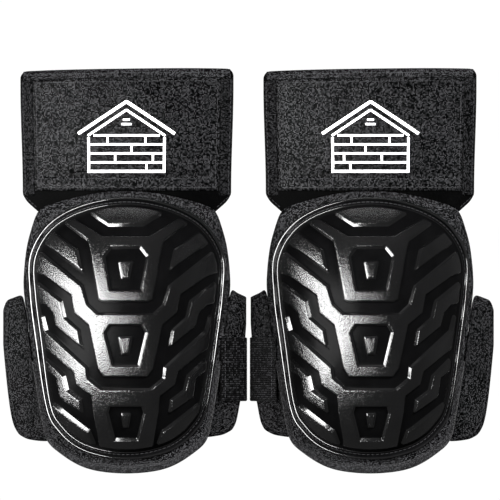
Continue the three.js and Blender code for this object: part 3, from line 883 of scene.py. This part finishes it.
def subdivided(made):
    for obj in made.values():
        modifier = obj.modifiers.new("subdivision", "SUBSURF")
        modifier.levels = modifier.render_levels = 1
        old = obj.data
        depsgraph = bpy.context.evaluated_depsgraph_get()
        obj.data = bpy.data.meshes.new_from_object(obj.evaluated_get(depsgraph))
        obj.data.name = obj.name
        obj.modifiers.clear()
        bpy.data.meshes.remove(old)
    return made


def padded_panel(us, low, high, rows, middle, half, thin, edge, two_ended=True):
    """A pad over the wrap between two z edges: front and back grids, and each point's distance to the seam.

    half is its half thickness, and thin the share of that at the seam.
    """
    z = high + (low - high) * np.linspace(0, 1, rows)[:, None]
    u = np.broadcast_to(us, z.shape)
    side = np.minimum(us[-1] - u, np.minimum(high - z, z - low))
    if two_ended:
        side = np.minimum(side, u - us[0])
    full = np.sqrt(np.clip(1 - (1 - np.clip(side / edge, 0, 1)) ** 2, 0, 1))
    reach_y = half * (thin + (1 - thin) * full)
    front, back = (np.stack([u, wrap(u) + middle + sign * reach_y, z], -1) for sign in (-1, 1))
    return front, back, side


# ---- Knee section

RING_SHARES = np.r_[np.linspace(0, 0.9, 19), 0.93, 0.96, 1.0]


def knee_ring(t, spokes=160, outset=0.0, line=None):
    angles = np.arange(spokes) / spokes * 2 * math.pi
    edge = reach(SHELL_LINE if line is None else line, angles)
    radius = edge * t + outset
    return radius * np.cos(angles), CREST_Z + radius * np.sin(angles), angles, radius, edge


def cup(u, t):
    flat = smoothstep(0.22, 0.42, t)
    base = FOAM_EDGE - CUP_DEPTH * (1 - 0.3**2)
    bowl = wrap(u) + FOAM_EDGE - CUP_DEPTH * (1 - np.clip(t, 0, 1) ** 2)
    return base * (1 - flat) + bowl * flat


def foam_core():
    fronts, backs = [], []
    for t in RING_SHARES:
        u, z, _, radius, edge = knee_ring(t)
        y = dome_front(u, radius, edge)
        fronts.append(np.column_stack([u, np.minimum(y + 6.2, wrap(u) + 2.6), z]))
        pocket = 6.6 * (1 - smoothstep(0.56, 0.74, t))
        backs.append(np.column_stack([u, cup(u, t) - pocket, z]))
    u, z, *_ = knee_ring(1.0, line=BODY_LINE, outset=-2.2)
    fronts.append(np.column_stack([u, wrap(u) + 2.7, z]))
    backs.append(np.column_stack([u, wrap(u) + FOAM_EDGE, z]))
    finish_piece(make("foam_core", *polar_sheet(fronts, backs), [FOAM]), "pad", ["foam_core"])


def gel_insert():
    fronts, backs = [], []
    for t in np.r_[np.linspace(0, 0.5, 9), 0.53, 0.545]:
        u, z, *_ = knee_ring(t)
        thin = 2.6 * smoothstep(0.49, 0.55, t) ** 2
        fronts.append(np.column_stack([u, cup(u, t) - 6.0 + thin, z]))
        backs.append(np.column_stack([u, cup(u, t) - 0.2 - thin * 0.5, z]))
    finish_piece(make("gel_insert", *polar_sheet(fronts, backs), [GEL]), "pad", ["gel_insert"])


def front_cover():
    """The cloth round the shell: flat under the rim, softly rolled at its outer edge."""
    spokes = 240
    hidden = (0.86, 0.93)
    fronts, backs = [], []
    for t in hidden:
        u, z, _, radius, edge = knee_ring(t, spokes)
        y = dome_front(u, radius, edge)
        fronts.append(np.column_stack([u, np.minimum(y + 4.2, wrap(u) + 0.9), z]))
        backs.append(np.column_stack([u, np.minimum(y + 5.4, wrap(u) + 1.9), z]))
    ui, zi, *_ = knee_ring(0.97, spokes)
    uo, zo, angles, *_ = knee_ring(1.0, spokes, line=BODY_LINE)
    ripple = 0.25 * np.sin(angles * 37) + 0.2 * np.sin(angles * 61 + 1.3)
    for s in np.linspace(0, 1, 9):
        u, z = ui + (uo - ui) * s, zi + (zo - zi) * s
        puff = math.sin(math.pi * min(1, s * 1.05)) ** 0.7
        roll = max(0.0, (s - 0.8) / 0.2)
        y = wrap(u) + 0.6 - 0.9 * puff + 1.6 * roll**2 + ripple * puff * 0.4
        fronts.append(np.column_stack([u, y, z]))
        backs.append(np.column_stack([u * 0.995, y + 1.5, z * 0.995]))
    # The cloth turns round the edge of the foam to the back.
    for depth, inset in ((4.5, -0.1), (7.5, 0.1), (9.6, 0.6)):
        for rings, further, nearer in ((fronts, 0, 0), (backs, 1.2, 0.4)):
            u, z, *_ = knee_ring(1.0, spokes, outset=-inset - further, line=BODY_LINE)
            rings.append(np.column_stack([u, wrap(u) + depth - nearer, z]))
    points, faces = ring_sheet(np.stack(fronts), np.stack(backs))
    made = make("front_cover", points, faces, [BODY_CLOTH])
    finish_piece(made, "pad", ["front_cover"])


def knee_liner():
    """The spacer mesh that lines the cup, in two sewn zones, puffed by cloth simulation."""
    spokes = 96
    seam_share = 0.6
    fronts, backs, held_back = [], [], []
    for t in np.r_[np.linspace(0, 0.56, 9), seam_share, 0.64, np.linspace(0.7, 0.94, 5), 0.98]:
        u, z, *_ = knee_ring(t, spokes)
        seam = abs(t - seam_share) < 0.01
        backs.append(np.column_stack([u, cup(u, t) + (1.0 if seam else 2.2), z]))
        fronts.append(np.column_stack([u, cup(u, t) + 0.4, z]))
        held_back.append(np.full(spokes, seam))
    for outset, depth in ((-3.0, FOAM_EDGE + 2.2), (-1.2, FOAM_EDGE + 1.9), (-0.6, FOAM_EDGE + 1.2)):
        u, z, *_ = knee_ring(1.0, spokes, outset=outset, line=BODY_LINE)
        backs.append(np.column_stack([u, wrap(u) + depth, z]))
        fronts.append(np.column_stack([u * 0.999, wrap(u) + FOAM_EDGE + 0.4, z]))
        held_back.append(np.full(spokes, outset > -2))
    points, faces = polar_sheet(fronts, backs)
    held_front = np.full(spokes * (len(fronts) - 1), True)
    held = np.concatenate([[True, False], held_front, *held_back[1:]])
    points = inflate(points, faces, held, pressure=6, cap=2.2)
    made = subdivided(make("knee_liner", points, faces, [LINER_CLOTH]))
    finish_piece(made, "pad", ["knee_liner"])
    u, z, *_ = knee_ring(seam_share, spokes)
    path = np.column_stack([u, cup(u, seam_share) + 1.3, z])
    stitches("liner_stitches", path, (0, 1, 0), "pad", pitch=3.6, length=2.6, thick=0.55, closed=True)
    u, z, *_ = knee_ring(1.0, spokes, outset=-2.4, line=BODY_LINE)
    path = np.column_stack([u, wrap(u) + FOAM_EDGE + 2.3, z])
    stitches("liner_edge_stitches", path, (0, 1, 0), "pad", pitch=3.8, length=2.8, thick=0.55, closed=True)


def lower_binding():
    """Edge tape folded over the lower edge, from wing to wing, with its stitch line."""
    angles = np.radians(np.linspace(270 - 63, 270 + 63, 150))
    u, z = around(BODY_LINE, angles)
    smooth_z = np.convolve(np.pad(z, 4, mode="edge"), np.ones(9) / 9, "valid")
    path = np.column_stack([u, wrap(u) + 5.8, smooth_z])
    section = [(0.9, -6.6), (0.2, -7.1), (-3.6, -7.0), (-4.9, -6.5), (-5.1, -5.7), (-4.4, -5.4),
               (-1.2, -5.6), (-0.9, 0), (-1.2, 5.8), (-4.4, 5.6), (-5.1, 5.9), (-4.9, 6.7), (-3.6, 7.2),
               (0.2, 7.2), (1.0, 6.6), (1.35, 4), (1.4, 0), (1.3, -4)]
    points, faces = sweep(path, [(-a, b) for a, b in reversed(section)])
    finish_piece(make("lower_binding", points, faces, [TAPE]), "pad", ["lower_binding"])
    u, z = around(BODY_LINE, angles, 3.4)
    line = np.column_stack([u, wrap(u) - 1.35, z])
    stitches("binding_stitches", line, (0, -1, 0), "pad", pitch=3.2, length=2.4)


# ---- Thigh flap

# The foot of the flap: under the arch it runs on down inside the knee section, as the cloth hinge does.
FLAP_LOW = [
    (0, 97.6), (16, 97), (30, 95), (45, 91.6), (57, 88.6), (65.5, 87.6), (70.2, 90.4), (75.5, 95),
    (80.6, 99.4), (83.6, 105),
]
FLAP_TUCK = 1.9  # how far the foot steps back under the front cover
PANEL_HALF, PANEL_LOW, PANEL_HIGH = 73.6, 107.6, FLAP_TOP - 7.2
NECK = ("pad", "thigh_flap", (0, 0, 95), (0, 0, 112))
FLAP_MIDDLE = 5.4  # depth of the middle of the flap behind the wrap
# Creases in the front of the flap as (x, z) of the middle, slope in degrees, length, width and depth.
CREASES = [
    (26, 188, -24, 21, 5.0, 3.2), (20, 196, -18, 16, 4.0, -1.6), (30, 179, -27, 18, 4.5, -2.0),
    (55, 188, -44, 11, 4.0, 2.6), (60, 194, -44, 10, 3.5, -1.4), (-19, 187, -26, 12, 4.0, 1.8),
    (-24, 193, -24, 10, 3.5, -1.0), (-46, 189, -50, 10, 4.0, 1.6), (-62, 176, 62, 14, 4.5, 1.4),
    (48, 119, 4, 26, 4.0, 2.6), (-34, 119.6, -3, 34, 4.0, 2.6), (4, 126, 1, 52, 4.0, -1.4),
    (8, 134, 3, 40, 6.0, 1.2), (-52, 146, 78, 22, 6.0, 1.2), (44, 165, -60, 16, 5.0, 1.2),
]


def crease(x, z):
    """How far the creases push the front of the flap back, in millimetres."""
    depth = 0.0 * x
    for x0, z0, slope, length, width, deep in CREASES:
        a = math.radians(slope)
        along = (x - x0) * math.cos(a) + (z - z0) * math.sin(a)
        across = -(x - x0) * math.sin(a) + (z - z0) * math.cos(a)
        depth = depth + deep * np.exp(-((along / length) ** 2) - (across / width) ** 2)
    return depth


def flap_warp(points, sign):
    """Creases and the lie of the top edge, which fall the same way on both pads."""
    out = points.copy()
    x, z = sign * points[:, 0], points[:, 2]
    front = smoothstep(-0.5, 2.0, wrap(points[:, 0]) + FLAP_MIDDLE - points[:, 1])
    inside = smoothstep(0, 9, FLAP_HALF - np.abs(x)) * smoothstep(0, 6, FLAP_TOP - z)
    out[:, 1] += crease(x, z) * front * inside * smoothstep(108, 114, z)
    arch = np.interp(np.abs(x), *zip(*[p for p in BODY_HALF if p[1] > 85]))
    out[:, 1] += FLAP_TUCK * (1 - smoothstep(-1, 4.5, z - arch)) * (np.abs(x) < 72)
    out[:, 2] += (1.1 * x / FLAP_HALF - 0.8 * (x / FLAP_HALF) ** 4) * smoothstep(150, FLAP_TOP, z)
    out[:, 0] *= 1 - 0.022 * (1 - smoothstep(108, 190, z))
    return out


def curve_of(points):
    """A function that follows (u, z) points, the same on both sides of the middle."""
    at, value = zip(*points)
    return lambda u: np.interp(np.abs(u), at, value)


flap_low = curve_of(FLAP_LOW)


def flap_high(u):
    corner = np.clip((np.abs(u) - (FLAP_HALF - 5)) / 5, 0, 1)
    return FLAP_TOP + 0.4 - 4.0 * (1 - np.sqrt(np.clip(1 - corner**2, 0, 1)))


def flap():
    us = np.r_[np.linspace(-FLAP_HALF, -66, 9), np.linspace(-63, 63, 43), np.linspace(66, FLAP_HALF, 9)]
    rows = 37
    front, back, side = padded_panel(us, flap_low(us), flap_high(us), rows, FLAP_MIDDLE, 4.0, 0.16, 7.0)
    points, faces = closed_sheet(front, back)
    seam = (side < 5.5).ravel()
    points = inflate(points, faces, np.r_[seam, seam], pressure=5, cap=2.0)
    quads = (rows - 1) * (len(us) - 1)
    kind = [0] * quads + [1] * quads + [0] * (len(faces) - 2 * quads)
    # The flap pad's front shows only in the strip under the panel, and its cloth carries painted shade
    # there.
    made = subdivided(make("flap_pad", points, faces, [NECK_CLOTH_PAINTED_SHADE, LINER_CLOTH], kind, warp=flap_warp))
    plain = subdivided(make("flap_plain", points, faces, [NECK_CLOTH_PAINTED_SHADE]))
    finish_piece(made, None, ["flap_foam", "flap_lining"], blend=NECK)
    surface = front_surface(plain)
    for obj in plain.values():
        bpy.data.objects.remove(obj)
    return surface


def front_surface(made):
    """A function that gives y of the front of an object of the right pad at (u, z)."""
    obj = made["right"]
    tree = BVHTree.FromPolygons([v.co for v in obj.data.vertices], [p.vertices for p in obj.data.polygons])

    def at(u, z):
        hit = tree.ray_cast(Vector(((PAD_CENTRE + u) * MM, -0.2, z * MM)), Vector((0, 1, 0)))
        return hit[0].y / MM if hit[0] is not None else float(wrap(u)) + 1.0

    return at


def laid_strip(name, path, width, surface, material, thickness=0.9):
    """A strip of cloth laid on the flap along a (u, z) path, in place of the node of its own name."""
    path = resample(path, 2.0)
    across = leftward(path)
    rows = []
    for s in np.linspace(1, -1, 13):
        line = path + across * s * width / 2
        y = [surface(u, z) - thickness * (1 - 0.6 * abs(s) ** 6) for u, z in line]
        rows.append(np.column_stack([line[:, 0], y, line[:, 1]]))
    front = np.stack(rows)
    points, faces = closed_sheet(front, front + [0, thickness * 0.9, 0])
    made = make(name, points, faces, [material], warp=flap_warp)
    finish_piece(made, None, [name], blend=NECK)


def flap_stitches(name, path, surface, lift, **settings):
    route = resample(path, 1.5, settings.get("closed", False))
    line = np.array([[u, surface(u, z) - lift, z] for u, z in route])
    stitches(name, line, (0, -1, 0), None, blend=NECK, warp=flap_warp, **settings)


def flap_panel(surface):
    """The woven front of the flap, its edges turned under and its lower band stepped."""
    us = np.linspace(-PANEL_HALF, PANEL_HALF, 99)
    z = np.repeat(np.linspace(PANEL_HIGH, PANEL_LOW, 61)[:, None], len(us), axis=1)
    u = np.broadcast_to(us, z.shape)
    side = np.minimum(np.minimum(PANEL_HALF - np.abs(u), PANEL_HIGH - z), z - PANEL_LOW)
    edge = 1 - np.clip(side / 1.8, 0, 1)
    y = np.array([[surface(a, b) for a, b in zip(ru, rz)] for ru, rz in zip(u, z)])
    hem = 0.35 * smoothstep(10.5, 9.0, z - PANEL_LOW) + 0.2 * smoothstep(4.6, 3.6, side)
    front = np.stack([u, y - 1.1 - hem + 0.9 * edge**2, z], -1)
    points, faces = closed_sheet(front, np.stack([u, y - 0.1, z], -1))
    made = make("flap_panel", points, faces, [WEAVE], warp=flap_warp)
    finish_piece(made, None, ["flap_front"], blend=NECK)
    inset = 2.6
    half, low, high = PANEL_HALF - inset, PANEL_LOW + inset, PANEL_HIGH - inset
    outline = [(-half, low), (half, low), (half, high), (-half, high)]
    flap_stitches("flap_panel_stitches", outline, surface, 1.75, closed=True, pitch=3.2, length=2.4)
    flap_stitches("flap_pocket_stitches", [(-half, PANEL_LOW + 9.2), (half, PANEL_LOW + 9.2)], surface, 1.4,
                  pitch=3.2, length=2.4, thick=0.45)


def flap_bindings(surface):
    """The hem along the top of the flap and the bands down its sides."""
    end, hem_z = FLAP_HALF - 2.6, FLAP_TOP - 3.6
    laid_strip("flap_top_hem", [(-end, hem_z), (end, hem_z)], 7.0, surface, BODY_CLOTH, 1.1)
    flap_stitches("flap_hem_stitches", [(-79.5, hem_z + 0.4), (79.5, hem_z + 0.4)], surface, 1.3)
    for sign, label in ((1, "outer"), (-1, "inner")):
        name = f"flap_{label}"
        band = [(sign * 78.4, 104), (sign * 78.4, FLAP_TOP - 7.4)]
        laid_strip(f"{name}_binding", band, 9.4, surface, BAND_CLOTH)
        flap_stitches(f"{name}_stitches", [(sign * 81.4, 104), (sign * 81.4, FLAP_TOP - 8)], surface, 1.0)
        flap_stitches(f"{name}_ear_stitches", [(sign * 81, 102.6), (sign * 71.8, 94.4)], surface, 0.15)


def printed_bar(a, b, width, surface):
    """A straight bar of ink from one (u, z) point to another, which lies to its right or below it."""
    a, b = np.array(a, float), np.array(b, float)
    middle = np.linspace(a, b, max(2, int(np.linalg.norm(b - a) / 1.6)) + 1)
    across = leftward(middle) * width / 2
    rows = np.array([[(u, surface(u, z) - 1.32, z) for u, z in middle + across * s] for s in (1, 0, -1)])
    return closed_sheet(rows, rows + [0, 0.3, 0])


def printed_mark(surface):
    """A generic mark in place of the maker's: a gabled house front with its siding boards."""
    eave, ridge, foot, half, boards = 152.0, 177.0, 122.5, 38.0, 4
    wall = half - 8
    step = (eave - foot) / (boards + 0.2)
    bars = [
        ((0, ridge), (half, eave), 2.3), ((0, ridge - 6.5), (half - 7.5, eave - 1.6), 1.7),
        ((wall, eave - 3), (wall, foot), 1.9),
        ((-half, eave), (0, ridge), 2.3), ((7.5 - half, eave - 1.6), (0, ridge - 6.5), 1.7),
        ((-wall, eave - 3), (-wall, foot), 1.9),
        ((7 - half, foot), (half - 7, foot), 2.1),
    ]
    for k in range(1, boards + 1):
        wide = wall if k < boards else half - 12
        bars.append(((-wide, foot + step * k), (wide, foot + step * k), 1.6))
    for k, u in ((0, -16), (1, 9), (1, -21), (2, -4), (3, 15), (3, -15)):
        z = foot + step * k
        bars.append(((u, z + step - 0.8), (u, z + 0.8), 1.5))
    bars += [((-4, 159.4), (4, 159.4), 1.5), ((-2.6, 162.8), (2.6, 162.8), 1.5)]
    points, faces = join([printed_bar(*bar, surface) for bar in bars])
    finish_piece(make("printed_mark", points, faces, [INK], warp=flap_warp), "thigh_flap")


# ---- Wings

# The upper and lower edges of each wing, as (u, z) on the outer side.
OUTER_TOP = [(60, -60), (67.6, -60), (76.3, -8), (80.3, 26.3), (85, 25.6), (89.4, 23.8), (94, 22.2),
             (96.2, 19.4), (97.3, 14)]
OUTER_LOW = [(60, -88.6), (69.7, -88.3), (78.5, -87), (85, -83.3), (89.3, -75.8), (91.9, -64.6),
             (94.1, -45.9), (96.4, -23.6), (97.3, -13)]
INNER_TOP = [(60, -60), (67.6, -60), (76.3, -8), (80.3, 30), (82.9, 30.6), (86, 28), (91.7, 25.4),
             (93.6, 24.2)]
INNER_LOW = [(60, -85.3), (64, -85.3), (75.3, -83.7), (82.7, -79.8), (86.6, -72), (88, -60), (90.6, -50),
             (92.4, -8), (93.6, 4)]


def wing(name, top, low, sign, reach_u):
    """A soft wing from under the shell's rim to its outer edge."""
    us = np.r_[np.linspace(62, 80, 7), np.linspace(82.5, reach_u, 8)]
    front, back, side = padded_panel(us, curve_of(low)(us), curve_of(top)(us), 30, 3.0, 2.3, 0.2, 5, False)
    tuck = 3.0 * smoothstep(78, 70, us)
    held = (side < 4) | (us < 72)
    front[..., 1] += tuck
    back[..., 1] += tuck
    if sign < 0:
        front, back = front[:, ::-1] * [-1, 1, 1], back[:, ::-1] * [-1, 1, 1]
        held = held[:, ::-1]
    points, faces = closed_sheet(front, back)
    points = inflate(points, faces, np.tile(held.ravel(), 2), pressure=6, cap=1.6)
    made = subdivided(make(name, points, faces, [WING_CLOTH]))
    hinge = ("pad", name, (sign * 66.8, 0, -27.3), (sign * 82.0, 0, -30.0))
    finish_piece(made, None, [name], blend=hinge)
    return made, hinge


def wing_stitches(made, hinge, name, lines):
    surface = front_surface(made)
    for k, line in enumerate(lines):
        path = np.array([[u, surface(u, z) - 0.15, z] for u, z in resample(catmull(line, 8), 1.5)])
        slope = wrap_slope(path[:, 0])
        normal = np.column_stack([slope, -np.ones(len(path)), 0 * slope])
        stitches(f"{name}_{k}", path, normal, None, blend=hinge)


def wings():
    wing_stitches(*wing("outer_wing", OUTER_TOP, OUTER_LOW, 1, 97.3), "outer_wing_hem", [
        [(81.5, 20), (86, 19.2), (92, 17)],
        [(68, -84.6), (76, -83.6), (82, -80.6), (86, -74), (89, -62), (91.5, -44), (93.4, -22), (94.0, -8),
         (93.6, 8), (92.2, 16.6)],
    ])
    wing_stitches(*wing("inner_wing", INNER_TOP, INNER_LOW, -1, 93.6), "inner_wing_hem", [
        [(-91.6, 21), (-86, 24), (-81.5, 26)],
        [(-85.4, -62), (-84, -71), (-80.4, -76.6), (-74.5, -80), (-66, -81.4)],
    ])


# ---- Webbing: bands, straps, tabs and loops


def strap_path(closure):
    """The (u, y) routes of a strap and its hook tab, closed on the catch."""
    seam, (cx, cy) = closure["seam"], closure["catch"]
    bx, by = cx - 22.2, cy + 3.8  # the bar of the clip
    turn = (bx - 1.3, by + 4.7)
    strap = [seam, (seam[0] + 16, seam[1] + 6.5), (-45, cy + 5), (-20, cy + 5.2), (bx - 31, cy + 3.4),
             (bx - 12, cy + 0.4), (bx - 3.3, by - 4.7), (bx + 1.7, by - 4.4), (bx + 4.6, by),
             (bx + 1.7, by + 4.4), turn]
    return strap, [turn, (bx - 12, by + 4.4), (bx - 31, by + 3.2), (bx - 56, by + 4.6)]


def opened(points, closure):
    seam = np.array(closure["seam"])
    a = math.radians(STRAP_OPEN)
    turn = np.array([[math.cos(a), math.sin(a)], [-math.sin(a), math.cos(a)]])
    return (np.asarray(points, float) - seam) @ turn + seam


def ribbon(path, middle, width, thickness):
    """A closed band of webbing with rolled selvedges along a (u, y) path, its route and the way left."""
    path = resample(catmull(path, 10), 1.6)
    side = leftward(path)
    across = np.r_[-1, -0.985, -0.95, np.linspace(-0.9, 0.9, 15), 0.95, 0.985, 1]
    fat = np.interp(np.abs(across), (0.9, 0.95, 0.985, 1), (1.0, 1.12, 0.75, 0.3))
    grids = [[], []]
    for s, f in zip(across[::-1], fat[::-1]):
        z = np.full(len(path), middle + s * width / 2)
        for grid, sign in zip(grids, (-1, 1)):
            grid.append(np.column_stack([path + sign * side * thickness / 2 * f, z]))
    return closed_sheet(*map(np.stack, grids)), path, side


def webbing_piece(name, path, middle, width, thickness, material, body):
    """A band of webbing that replaces the node of its own name."""
    (points, faces), route, side = ribbon(path, middle, width, thickness)
    made = finish_piece(make(name, points, faces, [material]), body, [name])
    return route, side


def cross_stitch(name, route, side, at, middle, width, body, sign=1):
    """A stitched line straight across a band, at index at of its route."""
    point = route[at] + side[at] * sign * 1.15
    z = np.linspace(middle - width / 2 + 2.5, middle + width / 2 - 2.5, 30)
    path = np.column_stack([np.full(30, point[0]), np.full(30, point[1]), z])
    stitches(name, path, (side[at][0] * sign, side[at][1] * sign, 0), body, pitch=3.0, length=2.3, thick=0.6)


def bands():
    path = [(-x, float(wrap(x)) - 1.3) for x in (73.6, 78, 83, 87.5, 91.4)]
    path += [(-93, 28.6), (-93.1, 33), (-92.4, 37), (-91, 40.6)]
    route, side = webbing_piece("elastic_band", path, BAND_MIDDLE, WEB_WIDTH, 1.9, ELASTIC,
                                "inner_wing")
    cross_stitch("band_stitches", route, side, 2, BAND_MIDDLE, WEB_WIDTH, "inner_wing")


def straps():
    for label, closure in (("calf", CALF), ("thigh", THIGH)):
        calf, middle = label == "calf", closure["middle"]
        strap, tab = strap_path(closure)
        name, holder = f"{label}_strap", "elastic_band" if calf else "flap_pad"
        route, side = webbing_piece(name, opened(strap, closure), middle, WEB_WIDTH, 1.9, ELASTIC,
                                    name)
        cross_stitch(f"{label}_strap_stitches", route, side, 3, middle, WEB_WIDTH, name)
        name = f"{label}_hook_tab"
        route, side = webbing_piece(name, opened(tab, closure), middle, WEB_WIDTH, 1.7, HOOK,
                                    name)
        cross_stitch(f"{label}_tab_stitches", route, side, len(route) - 4, middle, WEB_WIDTH, name)
        cx, cy = closure["catch"]
        bar = cx + 17
        root = (bar + 13, float(wrap(bar + 13)) + (6.9 if calf else 10.9))
        loop = [root, (bar + 10, cy - 3.4), (bar + 2, cy - 3.2), (bar - 2.6, cy - 2.6), (bar - 4, cy),
                (bar - 2.6, cy + 2.6), (bar + 2, cy + 3.2), (bar + 8, cy + 2), (bar + 10.5, cy - 0.2)]
        holder = "outer_wing" if calf else "thigh_flap"
        route, side = webbing_piece(f"{label}_catch_loop", loop, middle, LOOP_WIDTH, 1.3, TAPE,
                                    holder)
        cross_stitch(f"{label}_loop_stitches", route, side, len(route) - 5, middle, LOOP_WIDTH - 2, holder,
                     sign=-1)


def plastic_fittings():
    """The clips and catches keep their CAD shape, with rounded edges."""
    for side in SIDES:
        for part in ("calf_clip", "calf_catch", "thigh_clip", "thigh_catch"):
            obj = frame["nodes"][f"{side}_{part}"]
            obj.data.materials.clear()
            obj.data.materials.append(NYLON)
            bevel = obj.modifiers.new("round", "BEVEL")
            bevel.width = 0.0007
            bevel.segments = 3
            bevel.limit_method = "ANGLE"
            bevel.angle_limit = math.radians(35)
            bevel.harden_normals = False


# ---- Stage


def stage():
    mesh = bpy.data.meshes.new("floor")
    size, z = 3.0, -0.42
    corners = [(-size, -size, z), (size, -size, z), (size, size, z), (-size, size, z)]
    mesh.from_pydata(corners, [], [(0, 1, 2, 3)])
    floor = bpy.data.objects.new("floor", mesh)
    scene.collection.objects.link(floor)
    floor.data.materials.append(pale_floor())
    floor.visible_glossy = False
    floor.visible_diffuse = False

    world_data = bpy.data.worlds.new("studio")
    scene.world = world_data
    world_data.use_nodes = True
    tree = world_data.node_tree
    background = tree.nodes["Background"]
    background.inputs[0].default_value = (0.93, 0.93, 0.93, 1)
    path = tree.nodes.new("ShaderNodeLightPath")
    level = tree.nodes.new("ShaderNodeMapRange")
    level.inputs["To Min"].default_value = 0.14
    level.inputs["To Max"].default_value = 1.1
    tree.links.new(path.outputs["Is Camera Ray"], level.inputs[0])
    tree.links.new(level.outputs[0], background.inputs[1])

    def area(name, place, target, width, height, power):
        light = bpy.data.lights.new(name, "AREA")
        light.shape = "RECTANGLE"
        light.size, light.size_y = width, height
        light.energy = power
        obj = bpy.data.objects.new(name, light)
        obj.location = place
        aim = Vector(target) - Vector(place)
        obj.rotation_mode = "QUATERNION"
        obj.rotation_quaternion = aim.to_track_quat("-Z", "Y")
        scene.collection.objects.link(obj)
        return obj

    area("left_softbox", (-1.18, -0.92, -0.01), (0, 0, 0.0), 2.34, 0.76, 168)
    fill = area("right_fill", (1.2, -1.5, 1.15), (0, 0, 0.05), 1.0, 0.8, 330)
    fill.visible_glossy = False
    area("top_fill", (0.1, -0.9, 1.6), (0, 0, 0.05), 1.2, 0.8, 0.8)
    area("back_fill", (0, 2.0, 0.6), (0, 0, 0.02), 2.0, 1.2, 55)

    camera = bpy.data.cameras.new("camera")
    view = bpy.data.objects.new("camera", camera)
    scene.collection.objects.link(view)
    scene.camera = view
    distance, width = 6.0, 0.390
    camera.sensor_width = 36
    camera.lens = 36 * distance / width
    camera.clip_end = 50
    view.location = (0.0012, -distance, 0.0612)
    view.rotation_euler = (math.pi / 2, 0, 0)
    scene.view_settings.view_transform = "Standard"


stage()
shell()
shell_stitches()
foam_core()
gel_insert()
front_cover()
knee_liner()
lower_binding()
flap_surface = flap()
flap_panel(flap_surface)
flap_bindings(flap_surface)
printed_mark(flap_surface)
wings()
bands()
straps()
plastic_fittings()
